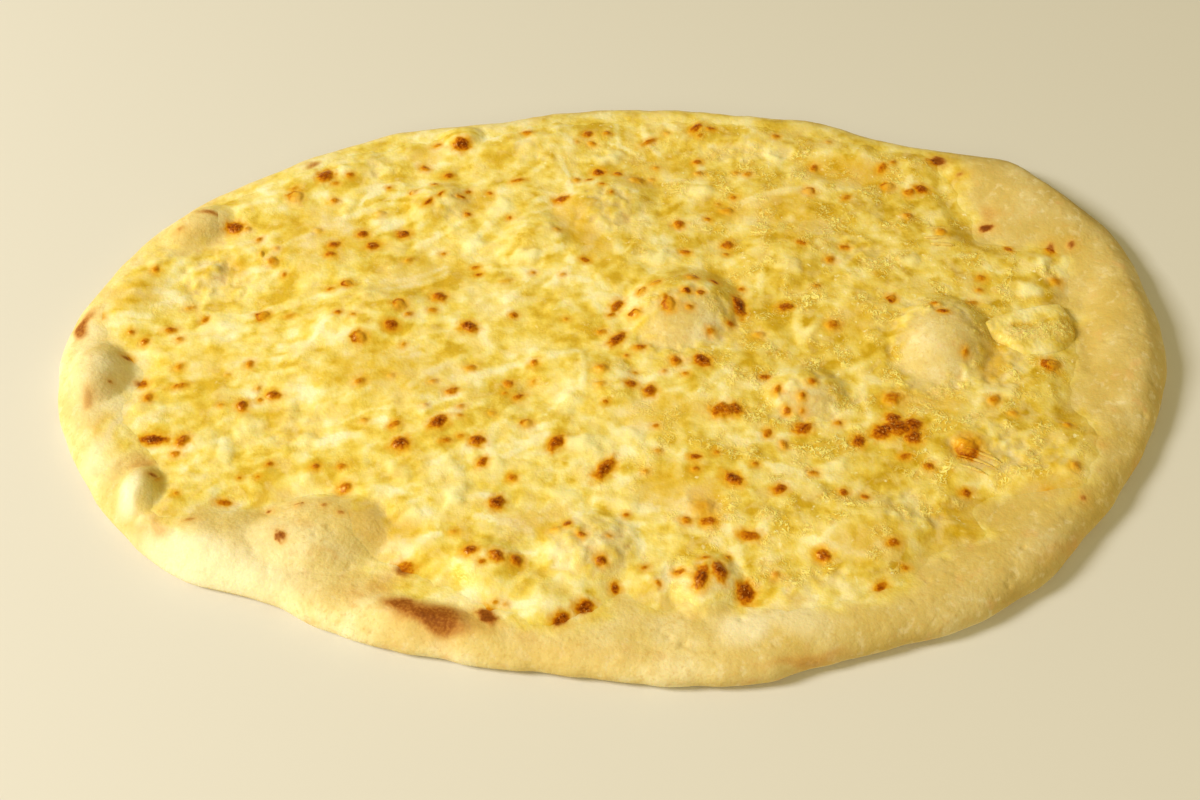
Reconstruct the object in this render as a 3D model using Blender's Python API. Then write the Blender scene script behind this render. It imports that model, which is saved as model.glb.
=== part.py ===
"""A cheese flatbread, baked whole: a long oval of hand-stretched dough with a low, uneven bare rim
and blown bubbles, one sheet of melted cheese over its middle, and one heap of grated cheese strands
that kept their form near the right end.

The frame has +X along the bread, +Z up and its origin on the underside, in the middle of the outline's
box. Plan sizes below are in millimetres, and directions are degrees from +X towards +Y.
"""

import bmesh
import bpy
import numpy as np
from mathutils import Vector
from mathutils.geometry import delaunay_2d_cdt

MM = 0.001

# The stretched dough: a squarish ellipse with the pulls and dents that hands leave in it.
HALF_LENGTH = 161.2
HALF_WIDTH = 109.5
SQUARENESS = 2.1
# Direction, pull outwards and spread in degrees.
PULLS = [
    (22, 9.5, 13),
    (33, 7.5, 5),
    (40, 0.8, 3),
    (57, 2.3, 5),
    (113, -4.3, 13),
    (133, -1.0, 6),
    (146, -4.0, 13),
    (166, -1.7, 7),
    (181, 1.2, 5),
    (200, -1.5, 9),
    (224, -7.0, 8),
    (236, -2.6, 6),
    (246, -3.6, 9),
    (261, -2.8, 9),
    (286, 1.6, 8),
    (302, -1.4, 9),
    (323, -1.2, 6),
    (331, -1.4, 4),
    (340, -6.8, 11),
    (351, -2.2, 5),
]

# The bread in section.
INNER_HEIGHT = 6.0
RIM_HEIGHT = 8.6
RIM_CROWN = 9.0
RIM_INSIDE = 27.0
EDGE_HEIGHT = 3.0
UNDER_ROLL = [(1.3, 1.1), (3.8, 0.0)]
BUBBLE_FADE = 7.0
# Long, low waves left by the stretching: length, direction, half height and phase in degrees.
WAVES = [(74.0, 25, 0.45, 40), (52.0, 115, 0.35, 200), (38.0, 70, 0.25, 95)]

# Blown bubbles in the dough: x, y, half length, half width, turn and height.
BUBBLES = [
    (20, 15, 19, 17, 20, 5.8),
    (95.5, 3, 18, 15.5, 60, 6.0),
    (54, -18, 13, 10.5, 10, 3.4),
    (-79, -66, 19, 13.5, 5, 5.2),
    (-104, -67, 17, 11, -10, 1.6),
    (-149, -12, 13, 10, 85, 4.6),
    (-128.5, -53.5, 9.5, 6.8, 85, 4.0),
    (-3, 61, 18, 13, 30, 3.0),
    (-25, 44, 14, 11, 40, 2.0),
    (-130, 49, 13, 9, 40, 3.6),
    (-124, 29, 8, 6, 20, 2.0),
    (-56, 61, 12, 9, 15, 2.2),
    (-8, -71, 15, 12, 20, 3.3),
    (23, -83, 11, 9.5, 60, 3.2),
    (-34, -77, 10, 9, 0, 1.8),
    (98, -36, 6, 5, 0, 2),
    (-50, 91, 8, 6, 0, 2.2),
    (128, 61, 27, 20, -40, 3),
    (150, 5, 34, 12, 84, 2),
    (-48, -96, 22, 8, -20, 2.4),
    (52, 37, 20, 14, 35, 2),
    (-76, 11, 22, 13, 20, 1.8),
    (66, -67, 19, 13, 15, 2),
    (-10, -13, 20, 12, 160, 1.8),
]
# A dome's fullness at the top and softness at its skirt.
DOME_FULLNESS = 2.6
DOME_SKIRT = 1.5

# The bare rim: least width, then the direction, extra width and spread of its bays.
RIM_LEAST = 7.0
BAYS = [
    (4, 15, 11),
    (12, 5, 5),
    (21, 6, 3),
    (23, 24, 5),
    (30, 17, 4),
    (35, 6, 3),
    (57, 5, 3),
    (88, 3, 5),
    (115, 1.5, 12),
    (160, 9, 2.5),
    (172, -3.5, 5),
    (185, 15, 5.5),
    (198, 11, 5.5),
    (207, -3, 3),
    (214, 22, 3.5),
    (219, 22, 6.5),
    (231, 14, 7),
    (242, 8, 6),
    (250, 3, 6),
    (264, 3, 4),
    (271, 12, 5),
    (278, 8, 4),
    (286, 11, 6),
    (293, 5, 4),
    (303, 4, 6),
    (311, 5, 5),
    (320, 12, 6),
    (330, 17, 4),
    (353, 12, 6),
]
SCALLOPS = [(23, 0.8, 30), (41, 0.6, 110)]

# The melted cheese.
GAP = 0.3
SHEET_EDGE = 0.5
SHEET_THICKNESS = 1.7
SHEET_FEATHER = 8.0
# Unmelted lumps in it: x, y, half length, half width, turn and height.
LUMPS = [
    (-1, 82.5, 5, 3, 10, 1.3),
    (-36, 58.5, 4.5, 4, 0, 1.4),
    (-44, 41.5, 4.5, 4, 0, 1.3),
    (13, 36.5, 6, 4, 10, 1.2),
    (53, 83.5, 3.5, 3, 0, 0.9),
    (-9, -37.5, 8, 4.5, 10, 1.4),
    (4, -34.5, 4, 3, 0, 1.1),
    (-44, -54.5, 4.5, 4, 90, 1.4),
    (-14, -54.5, 5, 3, 160, 1),
    (-33, -44.5, 5, 3.5, 30, 1),
    (-13, -22.5, 5, 3.5, 20, 1),
    (126, 22.5, 4, 3, 0, 1.3),
    (90, 35.5, 4, 3, 20, 1),
    (53, 33.5, 4, 3, 0, 1),
    (133, 35, 5, 1.9, 84, 1.8),
    (-70, -63.5, 6, 3.5, 60, 1.2),
    (-108, -41.5, 6, 3.5, 20, 1),
    (-118, 8.5, 7, 3.5, 20, 1),
    (28, 65.5, 5, 3.5, 150, 1),
    (112, -17.5, 5, 3.5, 0, 1),
    (60, -45.5, 5, 3, 30, 1),
    (3, -58.5, 6, 3.5, 60, 1),
]
# Browned blisters large enough to feel: x, y, half length, half width and turn.
BLISTERS = [
    (-94, 73.5, 3.4, 2.6, 0),
    (-50, 88.5, 2.8, 2.4, 0),
    (106, 81.5, 3.4, 2.6, 0),
    (51, 15.5, 2.6, 2.4, 0),
    (29, -24.5, 2.8, 2.6, 0),
    (34, -24.5, 2.8, 2.6, 0),
    (25, -5.5, 2.8, 2.2, 0),
    (52, -31.5, 2.9, 2.4, 0),
    (78, -28.5, 3.2, 2.6, 0),
    (84, -32.5, 3, 2.8, 0),
    (76, -34.5, 2.6, 2.2, 0),
    (31, -48.5, 2.8, 2.3, 20),
    (-3, -45.5, 4.5, 2, 50),
    (-17, -36.5, 3.4, 2, 55),
    (-50, -29.5, 2.8, 2.4, 30),
    (-60, -36.5, 2.8, 2.3, 0),
    (-39, -35.5, 2.5, 2, 0),
    (-32, -57.5, 2.6, 2.2, 40),
    (-74, -51.5, 2.7, 2.3, 0),
    (-89, -68.5, 3, 2.1, 80),
    (-32, -74.5, 2.7, 2.4, 0),
    (-26, -76.5, 2.5, 2.3, 0),
    (-15, -93.5, 3.2, 1.9, 60),
    (-9, -89.5, 2.5, 2.1, 30),
    (22, -80.5, 3.5, 2, 80),
    (27, -79.5, 3, 2, 80),
    (33, -85.5, 3, 2.4, 80),
    (35, -68.5, 3.5, 1.9, 0),
    (54, -73.5, 2.6, 2, 20),
    (68, -83.5, 2.6, 1.8, 50),
    (125, -6.5, 2.8, 2.3, 0),
    (-129, -34.5, 3.6, 1.5, 0),
    (116, 49.5, 3.2, 2, 0),
    (-119, 49.5, 2.8, 2.2, 0),
]
BLISTER_HEIGHT = 0.9

# The heap of grated strands: where it lies, its outline, and each strand in its own length and width:
# offset across, offset along, half length, half width, turn and height.
HEAP_PLACE = (122.5, 11.0)
HEAP_TURN = 16.0
HEAP_HALF_LENGTH = 13.5
HEAP_HALF_WIDTH = 8.6
HEAP_RAGGED = [(3, 0.9, 60), (5, 0.6, 10)]
HEAP_BED = 0.9
STRANDS = [
    (5.6, 1.0, 11.5, 2.0, 2, 2.2),
    (2.4, 0.5, 13.0, 2.0, -4, 2.8),
    (-0.9, 0.0, 13.0, 1.9, 5, 2.3),
    (-4.0, 1.5, 11.0, 2.0, -3, 2.4),
    (-6.6, 0.0, 7.5, 1.5, 4, 1.6),
    (0.6, 5.0, 6.5, 1.6, 38, 3.1),
]

# The triangulation keeps what the outer loop holds and merges points closer than this.
INSIDE_ONLY = 1
CORNER_MERGE = 1e-5
# How finely each surface is divided.
EDGE_POINTS = 144
CHEESE_EDGE_POINTS = 120
HEAP_EDGE_POINTS = 34
RIM_RINGS = (0.9, 2.8, 6.0)
RIM_CLEARANCE = 0.85
CHEESE_RING = 3.0
CHEESE_RING_CLEARANCE = 2.2
DOUGH_SPACING = 8.0
CHEESE_SPACING = 6.0
HEAP_SPACING = 1.7
# The least distance of a net's points from the others, as a share of its spacing.
NET_CLEARANCE = 0.66
# Rings of points on what stands up, as shares of its size, then the points on each ring and their
# least distance from other points.
BUBBLE_RINGS = ((0.4, 0.7, 0.98), 10, 2.4)
LUMP_RINGS = ((0.75,), 7, 1.3)
BLISTER_RINGS = ((0.85,), 6, 1.1)
TALL_BUBBLE = 2.5

# Dough, cheese and strand finishes: linear colour and roughness.
FINISHES = {
    "flatbread": ((0.80, 0.61, 0.25), 0.72),
    "melted_cheese": ((0.86, 0.62, 0.10), 0.34),
    "cheese_shred_clump": ((0.90, 0.72, 0.22), 0.40),
}


def clear_scene():
    for thing in list(bpy.data.objects):
        bpy.data.objects.remove(thing, do_unlink=True)


def bell(angle, centre, spread):
    """A smooth bump round one direction, 1 at its middle."""
    away = (angle - centre + 180.0) % 360.0 - 180.0
    return np.exp(-((away / spread) ** 2))


def ease(value, start, end):
    """0 before start, 1 after end and smooth between."""
    t = np.clip((value - start) / (end - start), 0.0, 1.0)
    return t * t * (3.0 - 2.0 * t)


def bread_radius(angle):
    """The dough's reach in each direction."""
    turn = np.radians(angle)
    along = np.abs(np.cos(turn) / HALF_LENGTH) ** SQUARENESS
    across = np.abs(np.sin(turn) / HALF_WIDTH) ** SQUARENESS
    radius = (along + across) ** (-1.0 / SQUARENESS)
    return radius + sum(pull * bell(angle, centre, spread) for centre, pull, spread in PULLS)


def cheese_radius(angle):
    """The reach of the melted cheese: the dough's, less its bare rim."""
    rim = RIM_LEAST + sum(extra * bell(angle, centre, spread) for centre, extra, spread in BAYS)
    rim = rim + sum(depth * np.sin(np.radians(n * angle + start)) for n, depth, start in SCALLOPS)
    return bread_radius(angle) - rim


def polar_loop(radius_of, count):
    angle = np.arange(count) * 360.0 / count
    turn = np.radians(angle)
    return radius_of(angle)[:, None] * np.stack([np.cos(turn), np.sin(turn)], axis=1)


def heap_loop(count):
    """The heap's outline: an ellipse made ragged by the strands' ends."""
    turn = np.radians(np.arange(count) * 360.0 / count)
    ragged = sum(depth * np.sin(n * turn + np.radians(start)) for n, depth, start in HEAP_RAGGED)
    along = (HEAP_HALF_LENGTH + ragged) * np.cos(turn)
    across = (HEAP_HALF_WIDTH + ragged) * np.sin(turn)
    tilt = np.radians(HEAP_TURN)
    x = HEAP_PLACE[0] + along * np.cos(tilt) - across * np.sin(tilt)
    y = HEAP_PLACE[1] + along * np.sin(tilt) + across * np.cos(tilt)
    return np.stack([x, y], axis=1)


def inset_loop(loop, depth):
    """The loop moved inwards, square to its own line."""
    along = np.roll(loop, -1, axis=0) - np.roll(loop, 1, axis=0)
    inwards = np.stack([-along[:, 1], along[:, 0]], axis=1)
    return loop + depth * inwards / np.linalg.norm(inwards, axis=1, keepdims=True)


def distance_to_loop(points, loop):
    """Each point's distance to the nearest side of a closed loop."""
    side = np.roll(loop, -1, axis=0) - loop
    reach = points[:, None, :] - loop[None, :, :]
    part = np.clip((reach * side).sum(axis=2) / (side * side).sum(axis=1), 0.0, 1.0)
    return np.linalg.norm(reach - part[:, :, None] * side, axis=2).min(axis=1)


def inside_loop(points, loop):
    """Which points a closed loop holds, by counting the sides that a ray towards +X crosses."""
    following = np.roll(loop, -1, axis=0)
    x, y = points[:, 0:1], points[:, 1:2]
    spans = (loop[:, 1] > y) != (following[:, 1] > y)
    rise = np.where(following[:, 1] == loop[:, 1], 1.0, following[:, 1] - loop[:, 1])
    crossing = loop[:, 0] + (y - loop[:, 1]) * (following[:, 0] - loop[:, 0]) / rise
    return ((spans & (x < crossing)).sum(axis=1) % 2) == 1


def oval_reach(points, x, y, half_length, half_width, turn):
    """0 at an oval's middle and 1 on its edge."""
    tilt = np.radians(turn)
    dx, dy = points[:, 0] - x, points[:, 1] - y
    along = dx * np.cos(tilt) + dy * np.sin(tilt)
    across = dy * np.cos(tilt) - dx * np.sin(tilt)
    return np.hypot(along / half_length, across / half_width)


def dome(reach):
    return np.clip(1.0 - reach**DOME_FULLNESS, 0.0, None) ** DOME_SKIRT


BREAD_EDGE = polar_loop(bread_radius, EDGE_POINTS)
CHEESE_EDGE = polar_loop(cheese_radius, CHEESE_EDGE_POINTS)
HEAP_EDGE = heap_loop(HEAP_EDGE_POINTS)


def dough_top(points):
    """Height of the bread: a rounded edge, a low rim, a flatter middle, and its bubbles and waves."""
    inset = distance_to_loop(points, BREAD_EDGE)
    outer = np.sqrt(np.clip(1.0 - (1.0 - np.minimum(inset, RIM_CROWN) / RIM_CROWN) ** 2, 0.0, 1.0))
    height = EDGE_HEIGHT + (RIM_HEIGHT - EDGE_HEIGHT) * outer
    height = height - (RIM_HEIGHT - INNER_HEIGHT) * ease(inset, RIM_CROWN, RIM_INSIDE)
    relief = np.zeros(len(points))
    for x, y, half_length, half_width, turn, rise in BUBBLES:
        relief += rise * dome(oval_reach(points, x, y, half_length, half_width, turn))
    for length, direction, swell, phase in WAVES:
        tilt = np.radians(direction)
        run = points[:, 0] * np.cos(tilt) + points[:, 1] * np.sin(tilt)
        relief += swell * np.sin(2.0 * np.pi * run / length + np.radians(phase))
    return height + relief * ease(inset, 0.0, BUBBLE_FADE)


def cheese_top(points):
    """Height of the cheese: thin at its edge, fuller inside, with its lumps and blisters."""
    inset = distance_to_loop(points, CHEESE_EDGE)
    thickness = SHEET_EDGE + (SHEET_THICKNESS - SHEET_EDGE) * ease(inset, 0.0, SHEET_FEATHER)
    for x, y, half_length, half_width, turn, rise in LUMPS:
        thickness += rise * dome(oval_reach(points, x, y, half_length, half_width, turn))
    for x, y, half_length, half_width, turn in BLISTERS:
        thickness += BLISTER_HEIGHT * dome(oval_reach(points, x, y, half_length, half_width, turn))
    return dough_top(points) + GAP + thickness


def heap_top(points):
    """Height of the heap: strands laid side by side and one across them, on a thin common bed."""
    tilt = np.radians(HEAP_TURN)
    dx, dy = points[:, 0] - HEAP_PLACE[0], points[:, 1] - HEAP_PLACE[1]
    local = np.stack([dx * np.cos(tilt) + dy * np.sin(tilt), dy * np.cos(tilt) - dx * np.sin(tilt)], axis=1)
    height = np.zeros(len(points))
    for across, along, half_length, half_width, turn, rise in STRANDS:
        reach = oval_reach(local, along, across, half_length, half_width, turn)
        height = np.maximum(height, rise * np.sqrt(np.clip(1.0 - reach**2, 0.0, 1.0)))
    return cheese_top(points) + GAP + HEAP_BED + height


def rings_round(spots, shares, count):
    """The middle of each oval and points on rings round it."""
    turn = np.radians(np.arange(count) * 360.0 / count)
    rings = []
    for x, y, half_length, half_width, tilt in (spot[:5] for spot in spots):
        lean = np.radians(tilt)
        rings.append(np.array([[x, y]], float))
        for share in shares:
            along = share * half_length * np.cos(turn)
            across = share * half_width * np.sin(turn)
            ring_x = x + along * np.cos(lean) - across * np.sin(lean)
            ring_y = y + along * np.sin(lean) + across * np.cos(lean)
            rings.append(np.stack([ring_x, ring_y], axis=1))
    return np.concatenate(rings)


def lattice(loop, spacing):
    """Points of a triangular net over a loop's box."""
    low, high = loop.min(axis=0), loop.max(axis=0)
    row_gap = spacing * np.sqrt(0.75)
    rows = []
    for row, y in enumerate(np.arange(low[1], high[1], row_gap)):
        x = np.arange(low[0] + 0.5 * spacing * (row % 2), high[0], spacing)
        rows.append(np.stack([x, np.full(len(x), y)], axis=1))
    return np.concatenate(rows)


def spread_out(kept, offered, least, outer):
    """Adds the offered points that lie inside the outer loop and clear of every other point."""
    offered = offered[inside_loop(offered, outer)]
    reach = np.linalg.norm(offered[:, None, :] - kept[None, :, :], axis=2).min(axis=1)
    added = np.empty((0, 2))
    for point in offered[reach >= least]:
        if len(added) == 0 or np.linalg.norm(added - point, axis=1).min() >= least:
            added = np.vstack([added, point])
    return np.concatenate([kept, added])


def add_net(points, loop, spacing):
    """Fills what is still open inside the loop with an even net."""
    return spread_out(points, lattice(loop, spacing), NET_CLEARANCE * spacing, loop)


def add_rings(points, spots, rings, loop):
    shares, count, least = rings
    return spread_out(points, rings_round(spots, shares, count), least, loop)


def tall_bubbles():
    return [bubble for bubble in BUBBLES if bubble[5] > TALL_BUBBLE]


def triangulate(points, loops):
    """Anticlockwise triangles between the points, with each loop's sides kept. The loops' points come
    first, loop by loop, and every point becomes exactly one corner."""
    sides = []
    start = 0
    for loop in loops:
        count = len(loop)
        sides += [(start + i, start + (i + 1) % count) for i in range(count)]
        start += count
    flat = [Vector(point) for point in points]
    made, _, faces, origins, _, _ = delaunay_2d_cdt(flat, sides, [], INSIDE_ONLY, CORNER_MERGE)
    source = [origin[0] for origin in origins]
    assert len(made) == len(points)
    triangles = np.array([[source[corner] for corner in face] for face in faces])
    first, second, third = (points[triangles[:, corner]] for corner in range(3))
    a, b = second - first, third - first
    clockwise = a[:, 0] * b[:, 1] - a[:, 1] * b[:, 0] < 0.0
    triangles[clockwise] = triangles[clockwise][:, ::-1]
    return triangles


def holding(points, triangles, loop):
    """The triangles that a loop holds."""
    return triangles[inside_loop(points[triangles].mean(axis=1), loop)]


def dough_plan():
    """The net that the bread's top and the underside of the cheese share, so that their gap is even."""
    points = np.concatenate([BREAD_EDGE, CHEESE_EDGE])
    for depth in RIM_RINGS:
        points = spread_out(points, inset_loop(BREAD_EDGE, depth), RIM_CLEARANCE, BREAD_EDGE)
    points = add_rings(points, tall_bubbles(), BUBBLE_RINGS, BREAD_EDGE)
    points = add_net(points, BREAD_EDGE, DOUGH_SPACING)
    return points, triangulate(points, [BREAD_EDGE, CHEESE_EDGE])


def cheese_plan():
    """The net of the cheese's top, which the underside of the heap shares."""
    points = np.concatenate([CHEESE_EDGE, HEAP_EDGE])
    inner = inset_loop(CHEESE_EDGE, CHEESE_RING)
    points = spread_out(points, inner, CHEESE_RING_CLEARANCE, CHEESE_EDGE)
    points = add_rings(points, BLISTERS, BLISTER_RINGS, CHEESE_EDGE)
    points = add_rings(points, LUMPS, LUMP_RINGS, CHEESE_EDGE)
    points = add_rings(points, tall_bubbles(), BUBBLE_RINGS, CHEESE_EDGE)
    points = add_net(points, CHEESE_EDGE, CHEESE_SPACING)
    return points, triangulate(points, [CHEESE_EDGE, HEAP_EDGE])


def heap_plan():
    points = add_net(HEAP_EDGE, HEAP_EDGE, HEAP_SPACING)
    return points, triangulate(points, [HEAP_EDGE])


def lifted(points, heights):
    """Plan points with their heights, in metres, moved so that the bread's box is centred."""
    middle = (BREAD_EDGE.min(axis=0) + BREAD_EDGE.max(axis=0)) / 2.0
    return np.column_stack([points - middle, heights]) * MM


def wall(lower, upper):
    """Quads between two closed rows of corners, facing out where the rows run anticlockwise."""
    count = len(lower)
    return [
        (lower[i], lower[(i + 1) % count], upper[(i + 1) % count], upper[i])
        for i in range(count)
    ]


def make_material(name):
    colour, roughness = FINISHES[name]
    material = bpy.data.materials.new(name)
    material.use_nodes = True
    shader = material.node_tree.nodes["Principled BSDF"]
    shader.inputs["Base Color"].default_value = (*colour, 1.0)
    shader.inputs["Roughness"].default_value = roughness
    shader.inputs["Metallic"].default_value = 0.0
    return material


def make_object(name, corners, faces):
    """One closed, smooth-shaded solid with its own finish."""
    mesh = bpy.data.meshes.new(name)
    mesh.from_pydata([tuple(corner) for corner in corners], [], [tuple(face) for face in faces])
    used = bmesh.new()
    used.from_mesh(mesh)
    loose = [vert for vert in used.verts if not vert.link_faces]
    bmesh.ops.delete(used, geom=loose, context="VERTS")
    bmesh.ops.recalc_face_normals(used, faces=used.faces)
    used.to_mesh(mesh)
    used.free()
    mesh.shade_smooth()
    mesh.materials.append(make_material(name))
    thing = bpy.data.objects.new(name, mesh)
    bpy.context.scene.collection.objects.link(thing)
    return thing


def make_flatbread(plan, triangles):
    """The bread: its top net, the edge rolled under in two steps, and one flat base."""
    rows = [list(range(EDGE_POINTS))]
    corners = [lifted(plan, dough_top(plan))]
    count = len(plan)
    for depth, height in UNDER_ROLL:
        corners.append(lifted(inset_loop(BREAD_EDGE, depth), np.full(EDGE_POINTS, height)))
        rows.append(list(range(count, count + EDGE_POINTS)))
        count += EDGE_POINTS
    faces = triangles.tolist()
    for upper, lower in zip(rows, rows[1:]):
        faces += wall(lower, upper)
    faces.append(rows[-1][::-1])
    return make_object("flatbread", np.concatenate(corners), faces)


def make_layer(name, lower, lower_heights, under, upper, upper_heights, over, rows):
    """A layer between two nets whose edge corners match, row to row."""
    corners = np.concatenate([lifted(lower, lower_heights), lifted(upper, upper_heights)])
    base_row, top_row = rows
    faces = under[:, ::-1].tolist()
    faces += (over + len(lower)).tolist()
    faces += wall(base_row, [len(lower) + corner for corner in top_row])
    return make_object(name, corners, faces)


def main():
    clear_scene()
    base_net, base_triangles = dough_plan()
    sheet_net, sheet_triangles = cheese_plan()
    heap_net, heap_triangles = heap_plan()

    make_flatbread(base_net, base_triangles)

    cheese_row = list(range(CHEESE_EDGE_POINTS))
    make_layer(
        "melted_cheese",
        base_net,
        dough_top(base_net) + GAP,
        holding(base_net, base_triangles, CHEESE_EDGE),
        sheet_net,
        cheese_top(sheet_net),
        sheet_triangles,
        ([EDGE_POINTS + corner for corner in cheese_row], cheese_row),
    )

    heap_row = list(range(HEAP_EDGE_POINTS))
    make_layer(
        "cheese_shred_clump",
        sheet_net,
        cheese_top(sheet_net) + GAP,
        holding(sheet_net, sheet_triangles, HEAP_EDGE),
        heap_net,
        heap_top(heap_net),
        heap_triangles,
        ([CHEESE_EDGE_POINTS + corner for corner in heap_row], heap_row),
    )


main()
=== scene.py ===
# %% [markdown]
# # A cheese flatbread, baked whole
# The real thing is an oval of hand-stretched dough with a low bare rim, blown up here and there by
# steam, under one sheet of melted cheese that browned where it bubbled. This lesson dresses a packed
# model of it. The imported solids fix its size and place, so the first step is to load them.

import bpy
import numpy as np
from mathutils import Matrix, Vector
from mathutils.geometry import delaunay_2d_cdt
from mathutils.kdtree import KDTree


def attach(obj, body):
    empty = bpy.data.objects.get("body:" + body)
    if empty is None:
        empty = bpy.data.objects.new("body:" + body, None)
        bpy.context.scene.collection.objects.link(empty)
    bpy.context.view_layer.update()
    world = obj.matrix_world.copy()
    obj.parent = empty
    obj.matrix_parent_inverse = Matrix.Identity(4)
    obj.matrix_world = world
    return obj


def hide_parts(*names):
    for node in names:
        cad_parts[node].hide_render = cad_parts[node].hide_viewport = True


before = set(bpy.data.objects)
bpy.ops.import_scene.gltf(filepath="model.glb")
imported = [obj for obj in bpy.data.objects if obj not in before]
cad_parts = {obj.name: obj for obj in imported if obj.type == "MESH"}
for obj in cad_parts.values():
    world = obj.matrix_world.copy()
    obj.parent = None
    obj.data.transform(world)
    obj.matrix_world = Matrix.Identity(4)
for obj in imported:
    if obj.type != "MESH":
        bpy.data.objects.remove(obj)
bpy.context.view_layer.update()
MM = 0.001

# %% [markdown]
# ## The outline of the dough
# Hands stretch dough into an ellipse that is a little squarish, with pulls and dents where the
# fingers were. It could be drawn as a curve through many points. A formula is shorter: one
# superellipse, and a bell-shaped bump for each pull, by its direction. The same values made the solid,
# so the fine mesh follows it. Plan sizes are in millimetres and directions in degrees from +X.

# %% Outline of the dough
HALF_LENGTH = 161.2
HALF_WIDTH = 109.5
SQUARENESS = 2.1
# Direction, pull outwards and spread in degrees.
PULLS = [
    (22, 9.5, 13), (33, 7.5, 5), (40, 0.8, 3), (57, 2.3, 5), (113, -4.3, 13), (133, -1.0, 6),
    (146, -4.0, 13), (166, -1.7, 7), (181, 1.2, 5), (200, -1.5, 9), (224, -7.0, 8), (236, -2.6, 6),
    (246, -3.6, 9), (261, -2.8, 9), (286, 1.6, 8), (302, -1.4, 9), (323, -1.2, 6), (331, -1.4, 4),
    (340, -6.8, 11), (351, -2.2, 5),
]
# Fine unevenness of the edge, which only the fine mesh can hold: waves round it, depth and start.
WRINKLES = [(29, 0.22, 10), (53, 0.14, 200), (97, 0.05, 60)]


def bell(angle, centre, spread):
    """A smooth bump round one direction, 1 at its middle."""
    away = (angle - centre + 180.0) % 360.0 - 180.0
    return np.exp(-((away / spread) ** 2))


def ease(value, start, end):
    """0 before start, 1 after end and smooth between."""
    t = np.clip((value - start) / (end - start), 0.0, 1.0)
    return t * t * (3.0 - 2.0 * t)


def bread_radius(angle):
    """The dough's reach in each direction."""
    turn = np.radians(angle)
    along = np.abs(np.cos(turn) / HALF_LENGTH) ** SQUARENESS
    across = np.abs(np.sin(turn) / HALF_WIDTH) ** SQUARENESS
    radius = (along + across) ** (-1.0 / SQUARENESS)
    radius = radius + sum(pull * bell(angle, centre, spread) for centre, pull, spread in PULLS)
    return radius + sum(depth * np.sin(np.radians(n * angle + start)) for n, depth, start in WRINKLES)


def polar_loop(radius_of, count):
    """Points at even angles round an outline that is given by its reach in each direction."""
    angle = np.arange(count) * 360.0 / count
    turn = np.radians(angle)
    return radius_of(angle)[:, None] * np.stack([np.cos(turn), np.sin(turn)], axis=1)


COARSE_LOOP_POINTS = 360
BREAD_EDGE = polar_loop(bread_radius, COARSE_LOOP_POINTS)
MIDDLE = (BREAD_EDGE.min(axis=0) + BREAD_EDGE.max(axis=0)) / 2.0
print("dough outline in mm:", np.ptp(BREAD_EDGE, axis=0).round(1), "middle moved by", MIDDLE.round(2))

# %% [markdown]
# ## The outline of the cheese
# The baker leaves a rim bare, narrow at the back and with deep bays where the dough blew up. So the
# cheese is the same outline less a rim whose width changes by direction, again as a sum of bells.

# %% Outline of the cheese
RIM_LEAST = 7.0
# Direction, extra bare width and spread in degrees.
BAYS = [
    (4, 15, 11), (12, 5, 5), (21, 6, 3), (23, 24, 5), (30, 17, 4), (35, 6, 3), (57, 5, 3), (88, 3, 5),
    (115, 1.5, 12), (160, 9, 2.5), (172, -3.5, 5), (185, 15, 5.5), (198, 11, 5.5), (207, -3, 3),
    (214, 22, 3.5), (219, 22, 6.5), (231, 14, 7), (242, 8, 6), (250, 3, 6), (264, 3, 4), (271, 12, 5),
    (278, 8, 4), (286, 11, 6), (293, 5, 4), (303, 4, 6), (311, 5, 5), (320, 12, 6), (330, 17, 4),
    (353, 12, 6),
]
SCALLOPS = [(23, 0.8, 30), (41, 0.6, 110)]
# Finer ragged scallops that only the fine mesh can hold: waves round the edge, depth and start.
FRAYS = [(67, 0.45, 10), (113, 0.35, 70), (191, 0.25, 200)]


def cheese_radius(angle):
    """The reach of the melted cheese: the dough's, less its bare rim."""
    rim = RIM_LEAST + sum(extra * bell(angle, centre, spread) for centre, extra, spread in BAYS)
    waves = SCALLOPS + FRAYS
    rim = rim + sum(depth * np.sin(np.radians(n * angle + start)) for n, depth, start in waves)
    return bread_radius(angle) - rim


def polar(points):
    """Each point's direction in degrees and its distance from the middle."""
    return np.degrees(np.arctan2(points[:, 1], points[:, 0])), np.hypot(points[:, 0], points[:, 1])


def search_tree(loop):
    """A tree that finds the nearest of many points quickly."""
    tree = KDTree(len(loop))
    for index, (x, y) in enumerate(loop):
        tree.insert((x, y, 0.0), index)
    tree.balance()
    return tree


FINE_LOOP_POINTS = 7200
BREAD_TREE = search_tree(polar_loop(bread_radius, FINE_LOOP_POINTS))
CHEESE_TREE = search_tree(polar_loop(cheese_radius, FINE_LOOP_POINTS))


def distance_to(tree, points):
    """Each point's distance to the nearest point of a finely divided outline."""
    return np.array([tree.find((x, y, 0.0))[2] for x, y in points.tolist()])


def cheese_inset(points):
    """Distance inwards from the edge of the cheese, negative on the bare rim."""
    angle, radius = polar(points)
    return np.sign(cheese_radius(angle) - radius) * distance_to(CHEESE_TREE, points)


cheese_loop = polar_loop(cheese_radius, FINE_LOOP_POINTS)
print("cheese outline in mm:", np.ptp(cheese_loop, axis=0).round(1))

# %% [markdown]
# ## The height of the dough
# In section the dough has a rounded edge, a low rim and a flatter middle. Steam lifts domes in it, and
# the stretching leaves long low waves. A height for each plan point says all of that, which is simple
# because the bread has no overhang except its rolled edge.

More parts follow.
